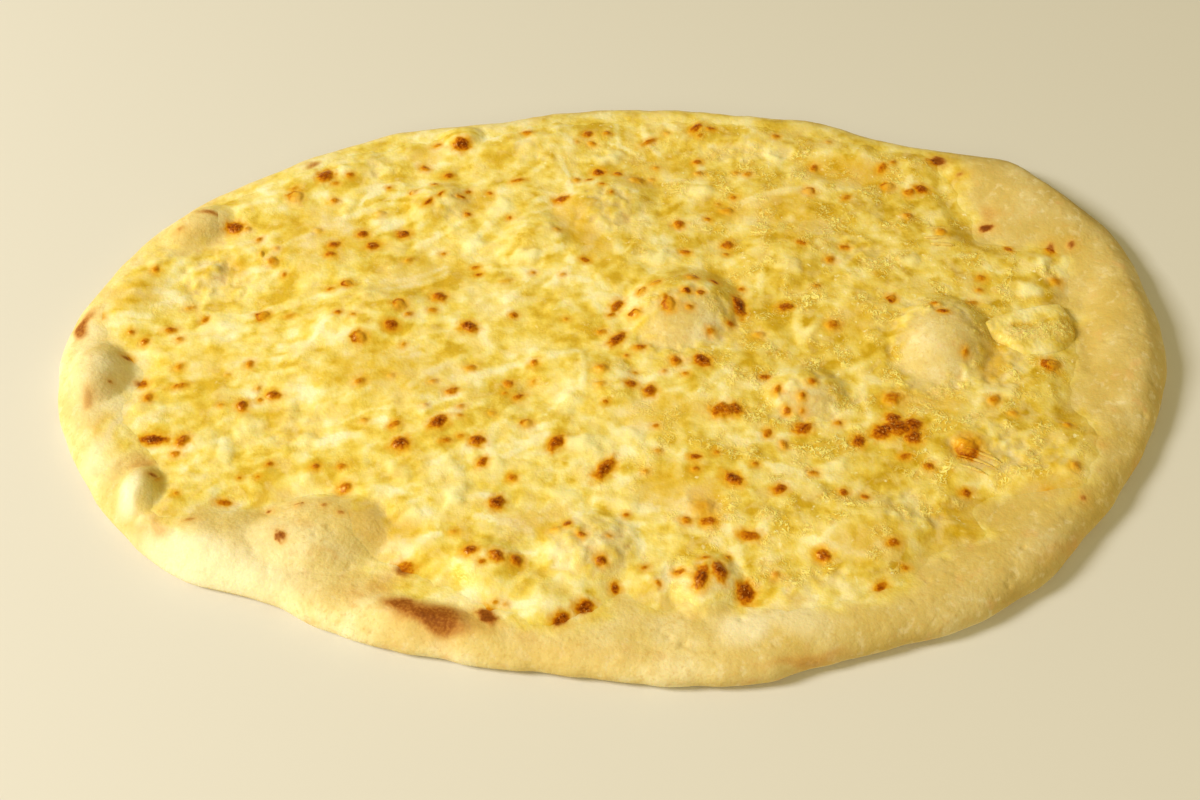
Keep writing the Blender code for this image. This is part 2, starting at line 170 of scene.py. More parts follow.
# %% Height of the dough
INNER_HEIGHT = 6.0
RIM_HEIGHT = 8.6
RIM_CROWN = 9.0
RIM_INSIDE = 27.0
EDGE_HEIGHT = 3.0
BUBBLE_FADE = 7.0
# Length, direction, half height and phase of the long waves.
WAVES = [(74.0, 25, 0.45, 40), (52.0, 115, 0.35, 200), (38.0, 70, 0.25, 95)]
# Blown bubbles: x, y, half length, half width, turn and height.
BUBBLES = [
    (20, 15, 19, 17, 20, 5.8), (95.5, 3, 18, 15.5, 60, 6.0), (54, -18, 13, 10.5, 10, 3.4),
    (-79, -66, 19, 13.5, 5, 5.2), (-104, -67, 17, 11, -10, 1.6), (-149, -12, 13, 10, 85, 4.6),
    (-128.5, -53.5, 9.5, 6.8, 85, 4.0), (-3, 61, 18, 13, 30, 3.0), (-25, 44, 14, 11, 40, 2.0),
    (-130, 49, 13, 9, 40, 3.6), (-124, 29, 8, 6, 20, 2.0), (-56, 61, 12, 9, 15, 2.2),
    (-8, -71, 15, 12, 20, 3.3), (23, -83, 11, 9.5, 60, 3.2), (-34, -77, 10, 9, 0, 1.8),
    (98, -36, 6, 5, 0, 2), (-50, 91, 8, 6, 0, 2.2), (128, 61, 27, 20, -40, 3),
    (150, 5, 34, 12, 84, 2), (-48, -96, 22, 8, -20, 2.4), (52, 37, 20, 14, 35, 2),
    (-76, 11, 22, 13, 20, 1.8), (66, -67, 19, 13, 15, 2), (-10, -13, 20, 12, 160, 1.8),
]
# A dome's fullness at the top and softness at its skirt.
DOME_FULLNESS = 2.6
DOME_SKIRT = 1.5


def oval_reach(points, x, y, half_length, half_width, turn):
    """0 at an oval's middle and 1 on its edge."""
    tilt = np.radians(turn)
    dx, dy = points[:, 0] - x, points[:, 1] - y
    along = dx * np.cos(tilt) + dy * np.sin(tilt)
    across = dy * np.cos(tilt) - dx * np.sin(tilt)
    return np.hypot(along / half_length, across / half_width)


def dome(reach):
    """1 in the middle and 0 at the edge: full at the top, soft at the skirt."""
    return np.clip(1.0 - reach**DOME_FULLNESS, 0.0, None) ** DOME_SKIRT


def dough_top(points):
    """Height of the bread: a rounded edge, a low rim, a flatter middle, and its bubbles and waves."""
    inset = distance_to(BREAD_TREE, points)
    outer = np.sqrt(np.clip(1.0 - (1.0 - np.minimum(inset, RIM_CROWN) / RIM_CROWN) ** 2, 0.0, 1.0))
    height = EDGE_HEIGHT + (RIM_HEIGHT - EDGE_HEIGHT) * outer
    height = height - (RIM_HEIGHT - INNER_HEIGHT) * ease(inset, RIM_CROWN, RIM_INSIDE)
    relief = np.zeros(len(points))
    for x, y, half_length, half_width, turn, rise in BUBBLES:
        relief += rise * dome(oval_reach(points, x, y, half_length, half_width, turn))
    for length, direction, swell, phase in WAVES:
        tilt = np.radians(direction)
        run = points[:, 0] * np.cos(tilt) + points[:, 1] * np.sin(tilt)
        relief += swell * np.sin(2.0 * np.pi * run / length + np.radians(phase))
    return height + relief * ease(inset, 0.0, BUBBLE_FADE)


print("dough height on the middle bubble in mm:", dough_top(np.array([[20.0, 15.0]])).round(1))

# %% [markdown]
# ## Random relief that comes out the same each time
# Melted cheese and stretched dough have no two bumps alike. Gradient noise gives smooth random relief
# of one size, and a few sizes together look natural. It is written out here for whole arrays of points,
# because calling a noise function once for each of many thousand points is slow.

# %% Random relief
NOISE_CELLS = 64


def ripple(points, size, seed):
    """Smooth random relief from about -1 to 1, with bumps about `size` mm across."""
    random = np.random.default_rng(seed)
    lean = random.uniform(0.0, 2.0 * np.pi, (NOISE_CELLS, NOISE_CELLS))
    slopes = np.stack([np.cos(lean), np.sin(lean)], axis=2)
    turn = random.uniform(0.0, np.pi)
    turned = points @ np.array([[np.cos(turn), -np.sin(turn)], [np.sin(turn), np.cos(turn)]])
    scaled = turned / size + random.uniform(0.0, NOISE_CELLS, 2)
    cell = np.floor(scaled).astype(int)
    part = scaled - cell
    blend = part**3 * (part * (part * 6.0 - 15.0) + 10.0)

    def corner(right, up):
        slope = slopes[(cell[:, 0] + right) % NOISE_CELLS, (cell[:, 1] + up) % NOISE_CELLS]
        return (slope * (part - [right, up])).sum(axis=1)

    low = corner(0, 0) * (1.0 - blend[:, 0]) + corner(1, 0) * blend[:, 0]
    high = corner(0, 1) * (1.0 - blend[:, 0]) + corner(1, 1) * blend[:, 0]
    return 1.5 * (low * (1.0 - blend[:, 1]) + high * blend[:, 1])


def ridges(points, size, seed):
    """Thin creases between rounded bumps: 1 on a crest and less the further from one."""
    return 1.0 - np.abs(ripple(points, size, seed)) * 2.0


def rippled(points, waves, base=0.0):
    """The base with several ripples on it, each given by its height, size and seed."""
    return sum((height * ripple(points, size, seed) for height, size, seed in waves), base)


def pushed(points, strength, size, seed):
    """The points moved about by noise, which gives a drawn shape a wavering edge."""
    away = np.stack([ripple(points, size, seed), ripple(points, size, seed + 1)], axis=1)
    return points + strength * away


# %% [markdown]
# ## Where the camera stands
# The camera looks down at 50 degrees from the long side. It comes early, because the small features
# below were read off a flat plane in its view. On a bubble the surface is higher than that plane, so
# each feature slides along its own line of sight until it lies on the surface that carries it.

# %% Camera and line of sight
AIM = Vector((-4.6, -14.4, 0.0))
CAMERA_DISTANCE = 450.0
CAMERA_ELEVATION = np.radians(50.0)
EYE = AIM + CAMERA_DISTANCE * Vector((0.0, -np.cos(CAMERA_ELEVATION), np.sin(CAMERA_ELEVATION)))
LENS = 46.65
SENSOR_WIDTH = 36.0
# Height of the plane on which the features were read.
READING_HEIGHT = 6.0
# Thickness of the cheese, and how far in from its edge it has most of it.
SHEET_THICKNESS = 1.8
COVERED = 6.0
SLIDES = 6


def placed(name, data):
    """A new object with this data, put into the scene."""
    thing = bpy.data.objects.new(name, data)
    bpy.context.scene.collection.objects.link(thing)
    return thing


lens = bpy.data.cameras.new("camera")
lens.sensor_width = SENSOR_WIDTH
lens.lens = LENS
camera = placed("camera", lens)
camera.location = EYE * MM
camera.rotation_euler = (AIM - EYE).to_track_quat("-Z", "Y").to_euler()
bpy.context.scene.camera = camera


def on_surface(spots):
    """The spots moved along the line of sight onto the top of the bread and its cheese."""
    flat = np.array([spot[:2] for spot in spots], float) + MIDDLE
    eye = np.array(EYE[:2]) + MIDDLE
    seen = flat.copy()
    for _ in range(SLIDES):
        covered = ease(cheese_inset(seen), 0.0, COVERED)
        rise = dough_top(seen) + SHEET_THICKNESS * covered - READING_HEIGHT
        seen = flat + (eye - flat) * (rise / (EYE[2] - READING_HEIGHT))[:, None]
    return [(*place, *spot[2:]) for place, spot in zip(seen, spots)]


# %% [markdown]
# ## Browned blisters
# Where steam lifts the cheese off the dough, its thin skin dries and browns: the middle turns dark,
# and a ring of orange oil stays round it. Each spot is an oval with a turn and a burn from 0, barely
# gold, to 1, dark brown. Some have burnt only along one side and are listed apart. The list is read
# off the real bread, area by area.

# %% Places of the browned blisters
# x, y, half length, half width, turn and burn.
SPOTS = on_surface([
    (-93.6, 75.7, 3.1, 2.8, 100, 0.88), (-119.2, 51.6, 3.0, 2.3, 0, 0.92),
    (-131.5, 7.6, 2.1, 1.0, 15, 0.6), (-122, 11.8, 1.6, 0.9, 60, 0.55), (-138.3, 3, 1.7, 1.0, 60, 0.55),
    (-128.2, 3.8, 1.4, 1.1, 0, 0.4), (-143, 6.8, 1.1, 1.0, 0, 0.45), (-153, 13.3, 2.0, 1.2, 120, 0.3),
    (-140.6, 32.8, 1.6, 1.2, 90, 0.45), (-127.3, 16.4, 2.0, 0.9, 20, 0.35),
    (-105.4, 35.9, 2.3, 2.0, 0, 0.38), (-104.7, 41.6, 1.4, 0.8, 10, 0.3),
    (-87.1, 43.5, 2.2, 1.4, 20, 0.65), (-87.9, 39.3, 1.9, 1.3, 0, 0.6),
    (-78.7, 48.1, 1.8, 1.7, 0, 0.78), (-75.1, 43.1, 2.2, 1.4, 25, 0.78), (-66, 48.1, 2.1, 1.8, 0, 0.88),
    (-63.5, 36.6, 1.8, 0.9, 35, 0.35), (-86.2, 24.4, 1.2, 0.8, 0, 0.5),
    (-100.9, 30.5, 1.1, 0.6, 70, 0.45), (-102.8, 69.4, 1.9, 1.0, 30, 0.35),
    (-89.2, 63.2, 1.7, 1.4, 0, 0.45), (-85.3, 75.1, 1.6, 1.1, 10, 0.5),
    (-89.8, 71.6, 1.6, 0.8, 10, 0.45), (-72.3, 69.2, 0.8, 0.7, 0, 0.5),
    (-61.5, 78.7, 1.9, 1.2, -40, 0.55), (-58.4, 91.3, 1.4, 0.9, 0, 0.55),
    (-57.8, 71, 1.3, 0.8, 20, 0.5), (-59.2, 62.9, 1.7, 0.7, 48, 0.8), (-55.6, 66.6, 1.4, 0.4, 50, 0.6),
    (-82.9, 14.8, 0.9, 0.8, 0, 0.6), (-78.3, 14, 1.0, 0.7, 0, 0.4), (-97, 12.9, 1.9, 0.8, 20, 0.35),
    (-66.6, 9.6, 2.3, 1.8, 0, 0.8), (-61.8, 14.1, 1.4, 0.9, 15, 0.45), (-62.2, 1.8, 1.1, 0.7, 70, 0.4),
    (-74, 57, 1.8, 1.4, 0, 0.22), (-110.8, 45.8, 1.3, 1.0, 60, 0.45), (-115, 50.6, 1.6, 1.2, 0, 0.35),
    (-109, 39, 0.8, 1.8, 0, 0.28), (-92.8, 50, 1.6, 1.2, 0, 0.22), (-136.2, 50.6, 1.8, 0.9, 20, 0.55),
    (-50.2, 90.2, 2.7, 2.6, 0, 0.95), (-28.9, 97.6, 1.8, 1.1, 0, 0.55),
    (-8.7, 96.3, 2.0, 1.5, 40, 0.65), (-2.2, 96.3, 1.4, 1.0, 0, 0.5), (-7.2, 91, 1.7, 1.1, -20, 0.4),
    (-12, 92, 1.0, 0.7, 0, 0.3), (11.4, 91.7, 3.7, 1.0, 32, 0.5), (27.5, 99.8, 3.0, 1.3, 45, 0.8),
    (32.3, 99.6, 2.2, 1.1, -10, 0.5), (17.5, 97, 1.3, 1.0, 0, 0.3), (28.5, 95.2, 1.3, 0.6, 40, 0.45),
    (-53.6, 75.1, 1.7, 1.1, 25, 0.7), (-31.2, 72.8, 2.5, 0.7, 10, 0.6), (-5, 76.6, 2.1, 1.5, 0, 0.9),
    (1.1, 76, 1.4, 1.2, 0, 0.65), (-8, 73.5, 0.9, 0.4, 10, 0.7), (-12, 73, 1.3, 1.0, 0, 0.4),
    (-4, 71.5, 0.9, 0.6, 0, 0.5), (-1, 67.5, 0.9, 0.6, 60, 0.45), (7.1, 73.4, 2.6, 1.9, 0, 0.35),
    (12, 73.3, 1.2, 0.9, 0, 0.28), (-16.9, 64.2, 2.5, 1.7, 10, 0.75), (-46.5, 57.2, 1.1, 1.1, 0, 0.6),
    (-33.2, 55.8, 0.8, 0.8, 0, 0.5), (-49, 65.7, 1.3, 0.6, 0, 0.6), (-46.8, 67.6, 1.0, 0.5, 40, 0.6),
    (-40, 67, 1.1, 0.5, -30, 0.5), (-18, 50.5, 1.1, 0.8, 0, 0.35), (20.1, 52.2, 2.0, 1.9, 0, 0.62),
    (29.3, 54.8, 1.1, 0.9, 0, 0.5), (35, 43.3, 2.0, 1.7, 40, 0.78), (34.2, 39, 1.2, 0.9, 0, 0.4),
    (21.8, 40.1, 1.8, 1.1, -10, 0.62), (35.5, 58.8, 2.6, 1.6, 0, 0.33), (33, 62, 0.9, 0.7, 0, 0.35),
    (38, 65.1, 1.0, 0.9, 0, 0.5), (27.1, 81.6, 1.5, 1.1, 20, 0.65), (27.3, 76, 1.8, 1.4, 0, 0.35),
    (43.2, 75.8, 1.8, 1.2, 0, 0.42), (39.6, 76.6, 1.3, 0.9, 0, 0.35), (13.6, 79, 1.1, 0.9, 0, 0.35),
    (53.9, 95.9, 1.5, 1.1, 0, 0.5), (-53, 39.5, 0.9, 0.7, 0, 0.45), (-42.7, 33.6, 1.2, 0.6, 0, 0.6),
    (-41.7, 30.7, 1.4, 0.7, 10, 0.6), (-9.2, 37, 1.6, 0.8, -25, 0.75), (-25, 31, 0.9, 0.8, 0, 0.4),
    (-16, 30.5, 1.1, 0.6, 20, 0.35), (-33, 27.5, 2.4, 0.7, 15, 0.25), (-53.1, 21, 2.4, 2.1, 0, 0.7),
    (-54.6, 15.5, 1.4, 0.8, 0, 0.5), (-43.3, 8.6, 2.7, 2.0, -10, 0.88), (-30.3, 13.3, 1.3, 1.1, 0, 0.6),
    (-14.7, 12, 1.0, 0.7, 0, 0.35), (30.2, 27.5, 1.4, 0.7, -35, 0.85), (21.6, 24.2, 1.2, 0.9, 0, 0.9),
    (25.7, 23.6, 1.1, 1.0, 0, 0.75), (22.2, 17.5, 1.4, 1.2, 0, 0.45), (0.5, 17.3, 2.7, 1.3, 55, 0.85),
    (-1.2, 13.8, 1.2, 0.7, 30, 0.6), (37.1, 17.1, 4.3, 1.8, 97, 1.0), (34, 10.3, 1.2, 1.0, 0, 0.55),
    (38, 24, 1.1, 0.8, 0, 0.5), (50.8, 17, 2.5, 1.4, 5, 0.8), (28, 7.4, 1.3, 1.0, 0, 0.5),
    (42.3, 5.7, 2.2, 1.5, 0, 0.3), (0.3, 3.6, 3.4, 1.6, 50, 0.9), (-4.2, 6.8, 1.7, 1.1, 10, 0.5),
    (7.2, 0.7, 2.0, 1.1, 5, 0.65), (64.9, 79.1, 1.9, 1.5, 90, 0.55), (73.9, 64.8, 1.9, 1.0, 40, 0.5),
    (71, 93, 1.1, 0.8, 0, 0.3), (87.1, 79.3, 2.3, 1.3, 60, 0.62), (91, 82.2, 1.4, 0.9, 20, 0.4),
    (105.6, 82.6, 3.3, 2.6, 0, 0.95), (98.2, 68.4, 2.4, 1.7, 0, 0.85), (94.4, 66.6, 2.3, 1.6, 20, 0.55),
    (111.9, 75.8, 1.8, 1.1, 20, 0.6), (116.3, 50.8, 2.9, 1.5, 10, 1.0),
    (135.2, 42.2, 2.6, 1.5, 80, 0.75), (141.6, 43.4, 2.0, 1.5, 70, 0.72),
    (122.3, 42.4, 1.6, 0.8, -60, 0.65), (134.2, 28.4, 2.3, 1.7, 0, 0.4), (92.4, 56.3, 2.1, 1.7, 0, 0.4),
    (102, 48.9, 2.4, 1.7, 90, 0.4), (57.8, 44.4, 1.6, 0.9, -20, 0.6), (71.3, 42.5, 1.8, 1.0, 0, 0.55),
    (66.1, 37, 1.9, 1.4, 30, 0.5), (111.4, 29, 1.8, 1.2, 0, 0.5), (98, 16, 1.6, 0.7, -10, 0.9),
    (95.8, 18.6, 1.2, 0.8, 0, 0.5), (107, 18.6, 2.4, 1.0, 10, 0.4), (64.3, 9.6, 2.4, 2.2, 0, 0.5),
    (61, 25.6, 1.2, 0.8, 0, 0.4), (110.2, 24, 1.4, 1.0, 0, 0.4), (-142.5, -3.2, 1.5, 0.9, -20, 0.75),
    (-126.5, -6.9, 1.7, 1.2, 30, 0.42), (-106.1, -6.1, 2.0, 1.3, 90, 0.5),
    (-112, -10, 1.2, 0.8, 0, 0.25), (-136.4, -13.0, 2.4, 1.6, -20, 0.75),
    (-133.5, -18.3, 2.4, 1.4, 110, 0.55), (-125, -14.2, 3.1, 1.0, 15, 0.5),
    (-145.2, -12.7, 0.6, 0.5, 0, 0.7), (-102.4, -15, 1.1, 0.7, 60, 0.35),
    (-97.8, -17.8, 2.3, 1.6, 0, 0.7), (-101.2, -19.5, 0.8, 0.6, 0, 0.5),
    (-105.9, -21.8, 2.1, 1.7, 90, 0.78), (-112, -21.5, 1.0, 0.7, 0, 0.4),
    (-73.7, -12.3, 2.1, 1.5, 30, 0.42), (-65, -10, 1.3, 0.8, 0, 0.25), (-71, -27, 1.4, 0.9, 0, 0.33),
    (-62.3, -28.5, 1.9, 1.0, 30, 0.6), (-60.1, -35.4, 2.7, 2.3, 0, 0.88),
    (-129.3, -33.1, 4.2, 1.5, 0, 1.0), (-120.8, -34.4, 3.0, 1.9, 70, 0.65),
    (-122, -38.7, 1.6, 1.1, 0, 0.5), (-89.0, -66.4, 1.9, 1.3, 115, 0.85),
    (-127, -46, 1.4, 1.0, -20, 0.75), (-106.2, -54.9, 2.4, 1.0, 0, 0.6),
    (-114.3, -61, 2.2, 0.7, 15, 0.6), (-95.4, -42.5, 1.3, 0.8, 30, 0.5), (-98, -47, 0.5, 0.5, 0, 0.5),
    (-103, -47.2, 0.5, 0.5, 0, 0.45), (-82.6, -43.5, 1.2, 1.1, 0, 0.6),
    (-75.7, -43.1, 1.5, 1.0, 0, 0.5), (-74.1, -50.1, 2.0, 1.8, 60, 0.6),
    (-78.9, -56.1, 1.0, 0.9, 0, 0.65), (-74.1, -58.6, 1.3, 0.7, -20, 0.65),
    (-93.4, -58.6, 0.8, 0.7, 0, 0.75), (-85, -61.4, 0.9, 0.6, 0, 0.35), (-119.5, -52, 0.8, 0.6, 0, 0.4),
    (-41.9, -7.4, 2.0, 1.5, 0, 0.42), (-52.6, -12.3, 1.4, 1.0, 0, 0.33), (-47, -16, 2.0, 1.3, 20, 0.62),
    (-23.7, -5.5, 1.7, 1.2, 90, 0.5), (-30.8, -13.4, 1.7, 1.5, 0, 0.62), (-31.6, -17, 1.0, 0.7, 0, 0.4),
    (-27.9, -18.3, 1.8, 0.9, 35, 0.62), (-23.8, -12.6, 1.1, 0.8, 60, 0.35),
    (-4.4, -7.3, 2.1, 1.9, 0, 0.4), (-4.5, -13.4, 2.2, 1.2, 0, 0.3), (5.5, -9, 0.8, 0.6, 0, 0.4),
    (17.4, -4.6, 1.9, 1.8, 0, 0.65), (25, -4.4, 2.7, 2.1, -30, 0.97), (4.3, -13.3, 1.7, 1.3, 0, 0.72),
    (9.6, -16.1, 2.1, 1.8, 20, 0.8), (20, -9.5, 1.0, 0.7, 0, 0.45), (3, -2.5, 1.0, 0.8, 0, 0.4),
    (13.8, -8.6, 1.0, 0.7, 30, 0.35), (-50, -27.6, 3.0, 2.0, 45, 0.92),
    (-38.9, -34.3, 2.4, 1.8, 0, 0.85), (-47.5, -34.2, 2.4, 1.0, 10, 0.45),
    (-43.6, -32.6, 1.1, 0.7, 0, 0.45), (-44, -22, 1.4, 1.0, 0, 0.35), (-44, -25.4, 1.0, 0.6, 0, 0.4),
    (-35, -24.4, 1.5, 1.0, 0, 0.28), (-54.2, -21.6, 1.3, 0.9, 0, 0.25), (-3, -20.2, 0.8, 0.5, 0, 0.55),
    (28.7, -23.5, 2.1, 1.8, 40, 0.85), (33.7, -23.1, 2.3, 1.7, 100, 0.85),
    (31, -23.4, 5.2, 2.9, 0, 0.6), (42.7, -10.9, 1.6, 0.8, 5, 0.7), (46.2, -15.4, 1.6, 0.8, 70, 0.6),
    (53.1, -17.3, 1.3, 0.8, 100, 0.6), (48.2, -23.2, 1.2, 1.0, 0, 0.6), (52.6, -23, 1.0, 0.7, 60, 0.4),
    (56.4, -12.3, 1.5, 1.1, 40, 0.55), (42.2, -31.6, 2.0, 1.1, 70, 0.65),
    (46.4, -35.8, 1.9, 1.3, 90, 0.42), (52.2, -30, 2.8, 1.9, 15, 0.85), (11, -28.8, 1.2, 0.6, 0, 0.45),
    (11.5, -38, 1.1, 0.8, 0, 0.35), (27.5, -38.3, 1.0, 0.8, 0, 0.45),
    (-16.9, -35.2, 3.3, 1.7, 60, 0.85), (-3.2, -44.1, 4.8, 1.9, 52, 0.85),
    (-37, -41.9, 1.7, 1.2, 60, 0.8), (-28.6, -47.2, 1.4, 1.3, 0, 0.55),
    (-32.4, -55.7, 2.4, 1.9, 60, 0.9), (21.5, -39.9, 1.7, 0.9, 0, 0.75), (21.5, -44, 1.4, 1.1, 0, 0.42),
    (8, -45, 1.1, 0.8, 0, 0.35), (38, -42.5, 1.1, 0.9, 40, 0.45), (31.7, -47.4, 3.1, 1.8, -40, 0.88),
    (44.2, -50.9, 2.0, 1.4, 30, 0.85), (53.8, -45.6, 1.8, 1.2, 0, 0.42),
    (24.4, -61.7, 2.8, 1.6, 0, 0.7), (18.5, -61.5, 1.6, 1.3, 0, 0.55),
    (22.8, -57.0, 4.0, 3.4, 20, 0.27), (34.8, -66.3, 3.4, 1.4, -8, 0.72),
    (-13.4, -62.3, 1.2, 0.9, 50, 0.8), (-9.6, -65.6, 1.1, 0.9, 0, 0.65), (2.3, -60, 0.9, 0.7, 0, 0.5),
    (-2.2, -66, 1.0, 0.7, 0, 0.35), (-43.5, -65, 1.5, 1.0, 0, 0.33), (-16.5, -64, 1.6, 1.2, 0, 0.28),
    (-38.9, -71.1, 2.2, 1.6, 20, 0.82), (-31.7, -72.7, 2.4, 1.7, -50, 0.78),
    (-35.5, -74.5, 1.1, 0.7, 0, 0.6), (-26.6, -74.3, 2.0, 1.7, 90, 0.72),
    (-56, -77.0, 3.5, 3.0, -10, 0.7), (-4.3, -73.9, 1.4, 1.3, 0, 0.85),
    (-0.7, -82.4, 1.5, 1.0, 95, 0.85), (15.9, -77.7, 1.5, 1.0, 0, 0.65), (7, -76.5, 1.2, 0.6, 30, 0.45),
    (10.5, -81.4, 1.3, 0.6, -55, 0.45), (21.7, -78.9, 4.0, 1.8, 75, 0.95),
    (26.5, -77.1, 3.3, 1.8, 100, 0.92), (23, -73.2, 1.5, 0.6, 10, 0.5), (29, -73.2, 1.0, 0.6, 40, 0.45),
    (33, -84.0, 3.5, 2.3, 95, 1.0), (53.8, -72.5, 2.2, 1.8, -30, 0.8), (41, -79, 1.7, 1.2, 60, 0.35),
    (-33.4, -91.4, 4.2, 2.5, -42, 0.95), (-36.2, -90.2, 1.2, 0.7, -10, 0.6),
    (-14.6, -92.0, 3.2, 1.8, 45, 0.9), (-8.6, -88.3, 2.8, 2.1, 30, 0.92),
    (-31.5, -86.5, 0.7, 0.5, 0, 0.45), (-29, -87.2, 1.0, 0.7, 0, 0.3),
    (102.2, -0.7, 1.5, 1.0, 60, 0.45), (78.5, -18.9, 3.6, 2.8, 20, 0.5),
    (77.8, -26.4, 2.3, 1.9, 0, 0.95), (74.6, -30.9, 3.8, 2.4, 20, 0.95),
    (83.1, -28.8, 2.9, 2.5, 0, 0.9), (82.7, -33, 2.6, 2.4, 0, 0.85), (79.2, -29.6, 5.0, 3.2, 0, 0.88),
    (67.3, -34.3, 2.3, 1.7, 80, 0.85), (62.2, -28.1, 1.3, 1.0, 0, 0.5),
    (79.6, -39.7, 2.0, 0.9, 10, 0.65), (85.8, -43.2, 1.5, 1.2, 0, 0.65),
    (94.7, -51.8, 1.7, 1.1, 10, 0.72), (125.8, -54, 1.3, 1.1, 20, 0.65),
    (61.3, -52.3, 1.2, 1.1, 0, 0.65), (67, -53.6, 1.3, 1.0, -20, 0.55), (73, -68.4, 2.2, 1.1, 10, 0.65),
    (75.2, -75.8, 1.3, 0.8, 0, 0.5), (68, -82.2, 2.4, 1.1, 45, 0.72),
    (126.3, -42.4, 2.0, 1.6, 60, 0.35), (134.8, -35.4, 1.7, 0.8, 100, 0.35),
    (127, -28.2, 1.7, 1.2, 0, 0.38), (107.4, -19.6, 2.6, 1.8, 30, 0.42),
    (112, -24.5, 1.7, 1.2, 0, 0.33), (117, -51, 1.5, 1.0, 0, 0.28), (97.8, -35.2, 3.0, 3.2, 0, 0.36),
])
# Blisters that burnt along one side only: x, y, half length, half width, turn, burn and burnt side.
CRESCENTS = on_surface([
    (-105, 13.2, 2.0, 1.7, 30, 0.8, 170), (-81.3, 26.5, 1.5, 1.3, 0, 0.75, 200),
    (-101.6, 65.3, 2.6, 2.3, 0, 0.5, 150), (-64.3, 67.3, 1.5, 1.1, 40, 0.5, 180),
    (-75.4, 4.9, 2.1, 2.0, 0, 0.7, 190), (-64.7, 18.2, 2.1, 1.9, 0, 0.65, 130),
    (23.4, 29.5, 1.7, 1.5, 0, 0.8, 60), (16.2, 19, 3.0, 2.0, 95, 0.8, 170),
    (7.8, 23.4, 1.7, 1.0, 60, 0.7, 130), (12.2, 27, 1.8, 0.9, 20, 0.7, 90),
    (5.9, 14.5, 1.5, 1.3, 0, 0.8, 150), (62.4, 68, 2.0, 1.7, 0, 0.55, 40),
    (87.8, 69.9, 2.1, 1.9, 0, 0.5, 150), (83.2, 20.6, 1.6, 1.3, 40, 0.85, 220),
    (-85.5, -56.3, 1.5, 1.2, 0, 0.8, 100), (-89.2, -66.7, 2.6, 1.4, 115, 0.9, 200),
    (-25, -28.1, 1.7, 1.4, 20, 0.5, 140), (126.3, -5.9, 2.8, 2.2, 0, 0.75, 170),
    (97.8, -35.6, 3.2, 3.4, 0, 0.85, 265),
])
print(len(SPOTS) + len(CRESCENTS), "browned spots")

# %% [markdown]
# ## How a blister browns
# Heat browns the thin top of a blister, not its foot, so burn is a number that falls off from the
# middle outwards. The edge of each oval is pushed about by fine noise, because real ones are crinkled
# like dried paint. The same pass gives the relief: a low dome with wrinkles where it is dark. Burn and
# the orange oil round it go onto the mesh as attributes, and the materials turn them into colours.

# %% Browning and blister relief
# How far the brown and the oil round it run out past each oval, in mm.
SOFT_EDGE = 0.45
OIL_RING = 1.3
# Height of a blister for each millimetre of its half width, up to the widest that counts.
BLISTER_RISE = 0.42
WIDEST_RISE = 2.0
# How deep wrinkles cut into the darkest blister, as a share of its height.
WRINKLE_SHARE = 0.22
# Unevenness of each oval's edge: strength, size and seed.
SPOT_CRINKLE = [(0.24, 1.8, 11), (0.1, 0.9, 12)]
# A one-sided blister: where its ring lies and how wide it is, as shares of the oval, and how far the
# burnt side spreads in degrees.
RING_PLACE, RING_WIDTH, RING_SPREAD = 0.85, 0.3, 75.0


def near(points, x, y, reach):
    """The points in a square round one place, so that a small feature touches few of them."""
    return np.flatnonzero((np.abs(points[:, 0] - x) < reach) & (np.abs(points[:, 1] - y) < reach))


def browning(points):
    """Burn, orange oil and relief of the blisters at each point."""
    burn, oil, relief = (np.zeros(len(points)) for _ in range(3))
    crinkle = rippled(points, SPOT_CRINKLE)
    wrinkle = ridges(points, 1.3, 13)
    for x, y, half_length, half_width, turn, depth, *side in SPOTS + CRESCENTS:
        here = near(points, x, y, 2.6 * half_length + 2.0)
        reach = oval_reach(points[here], x, y, half_length, half_width, turn) * (1.0 + crinkle[here])
        wide = oval_reach(points[here], x, y, half_length + SOFT_EDGE, half_width + SOFT_EDGE, turn)
        spread = 1.0 - ease(wide * (1.0 + crinkle[here]), 0.18 * depth, 1.25)
        if side:
            angle = np.degrees(np.arctan2(points[here, 1] - y, points[here, 0] - x))
            band = np.exp(-(((reach - RING_PLACE) / RING_WIDTH) ** 2))
            spread = 0.42 * spread + band * (0.1 + 0.8 * bell(angle, side[0], RING_SPREAD))
            spread = np.minimum(spread, 1.0)
        burn[here] = np.maximum(burn[here], depth * spread)
        ring = oval_reach(points[here], x, y, half_length + OIL_RING, half_width + OIL_RING, turn)
        oiled = 1.0 - ease(ring * (1.0 + crinkle[here]), 0.4, 1.6)
        oil[here] = np.maximum(oil[here], depth**0.5 * oiled)
        rise = BLISTER_RISE * min(half_width, WIDEST_RISE) * dome(np.minimum(reach, 1.0))
        rise = rise * (1.0 - WRINKLE_SHARE * depth * wrinkle[here])
        relief[here] = np.maximum(relief[here], rise)
    return burn, oil, relief
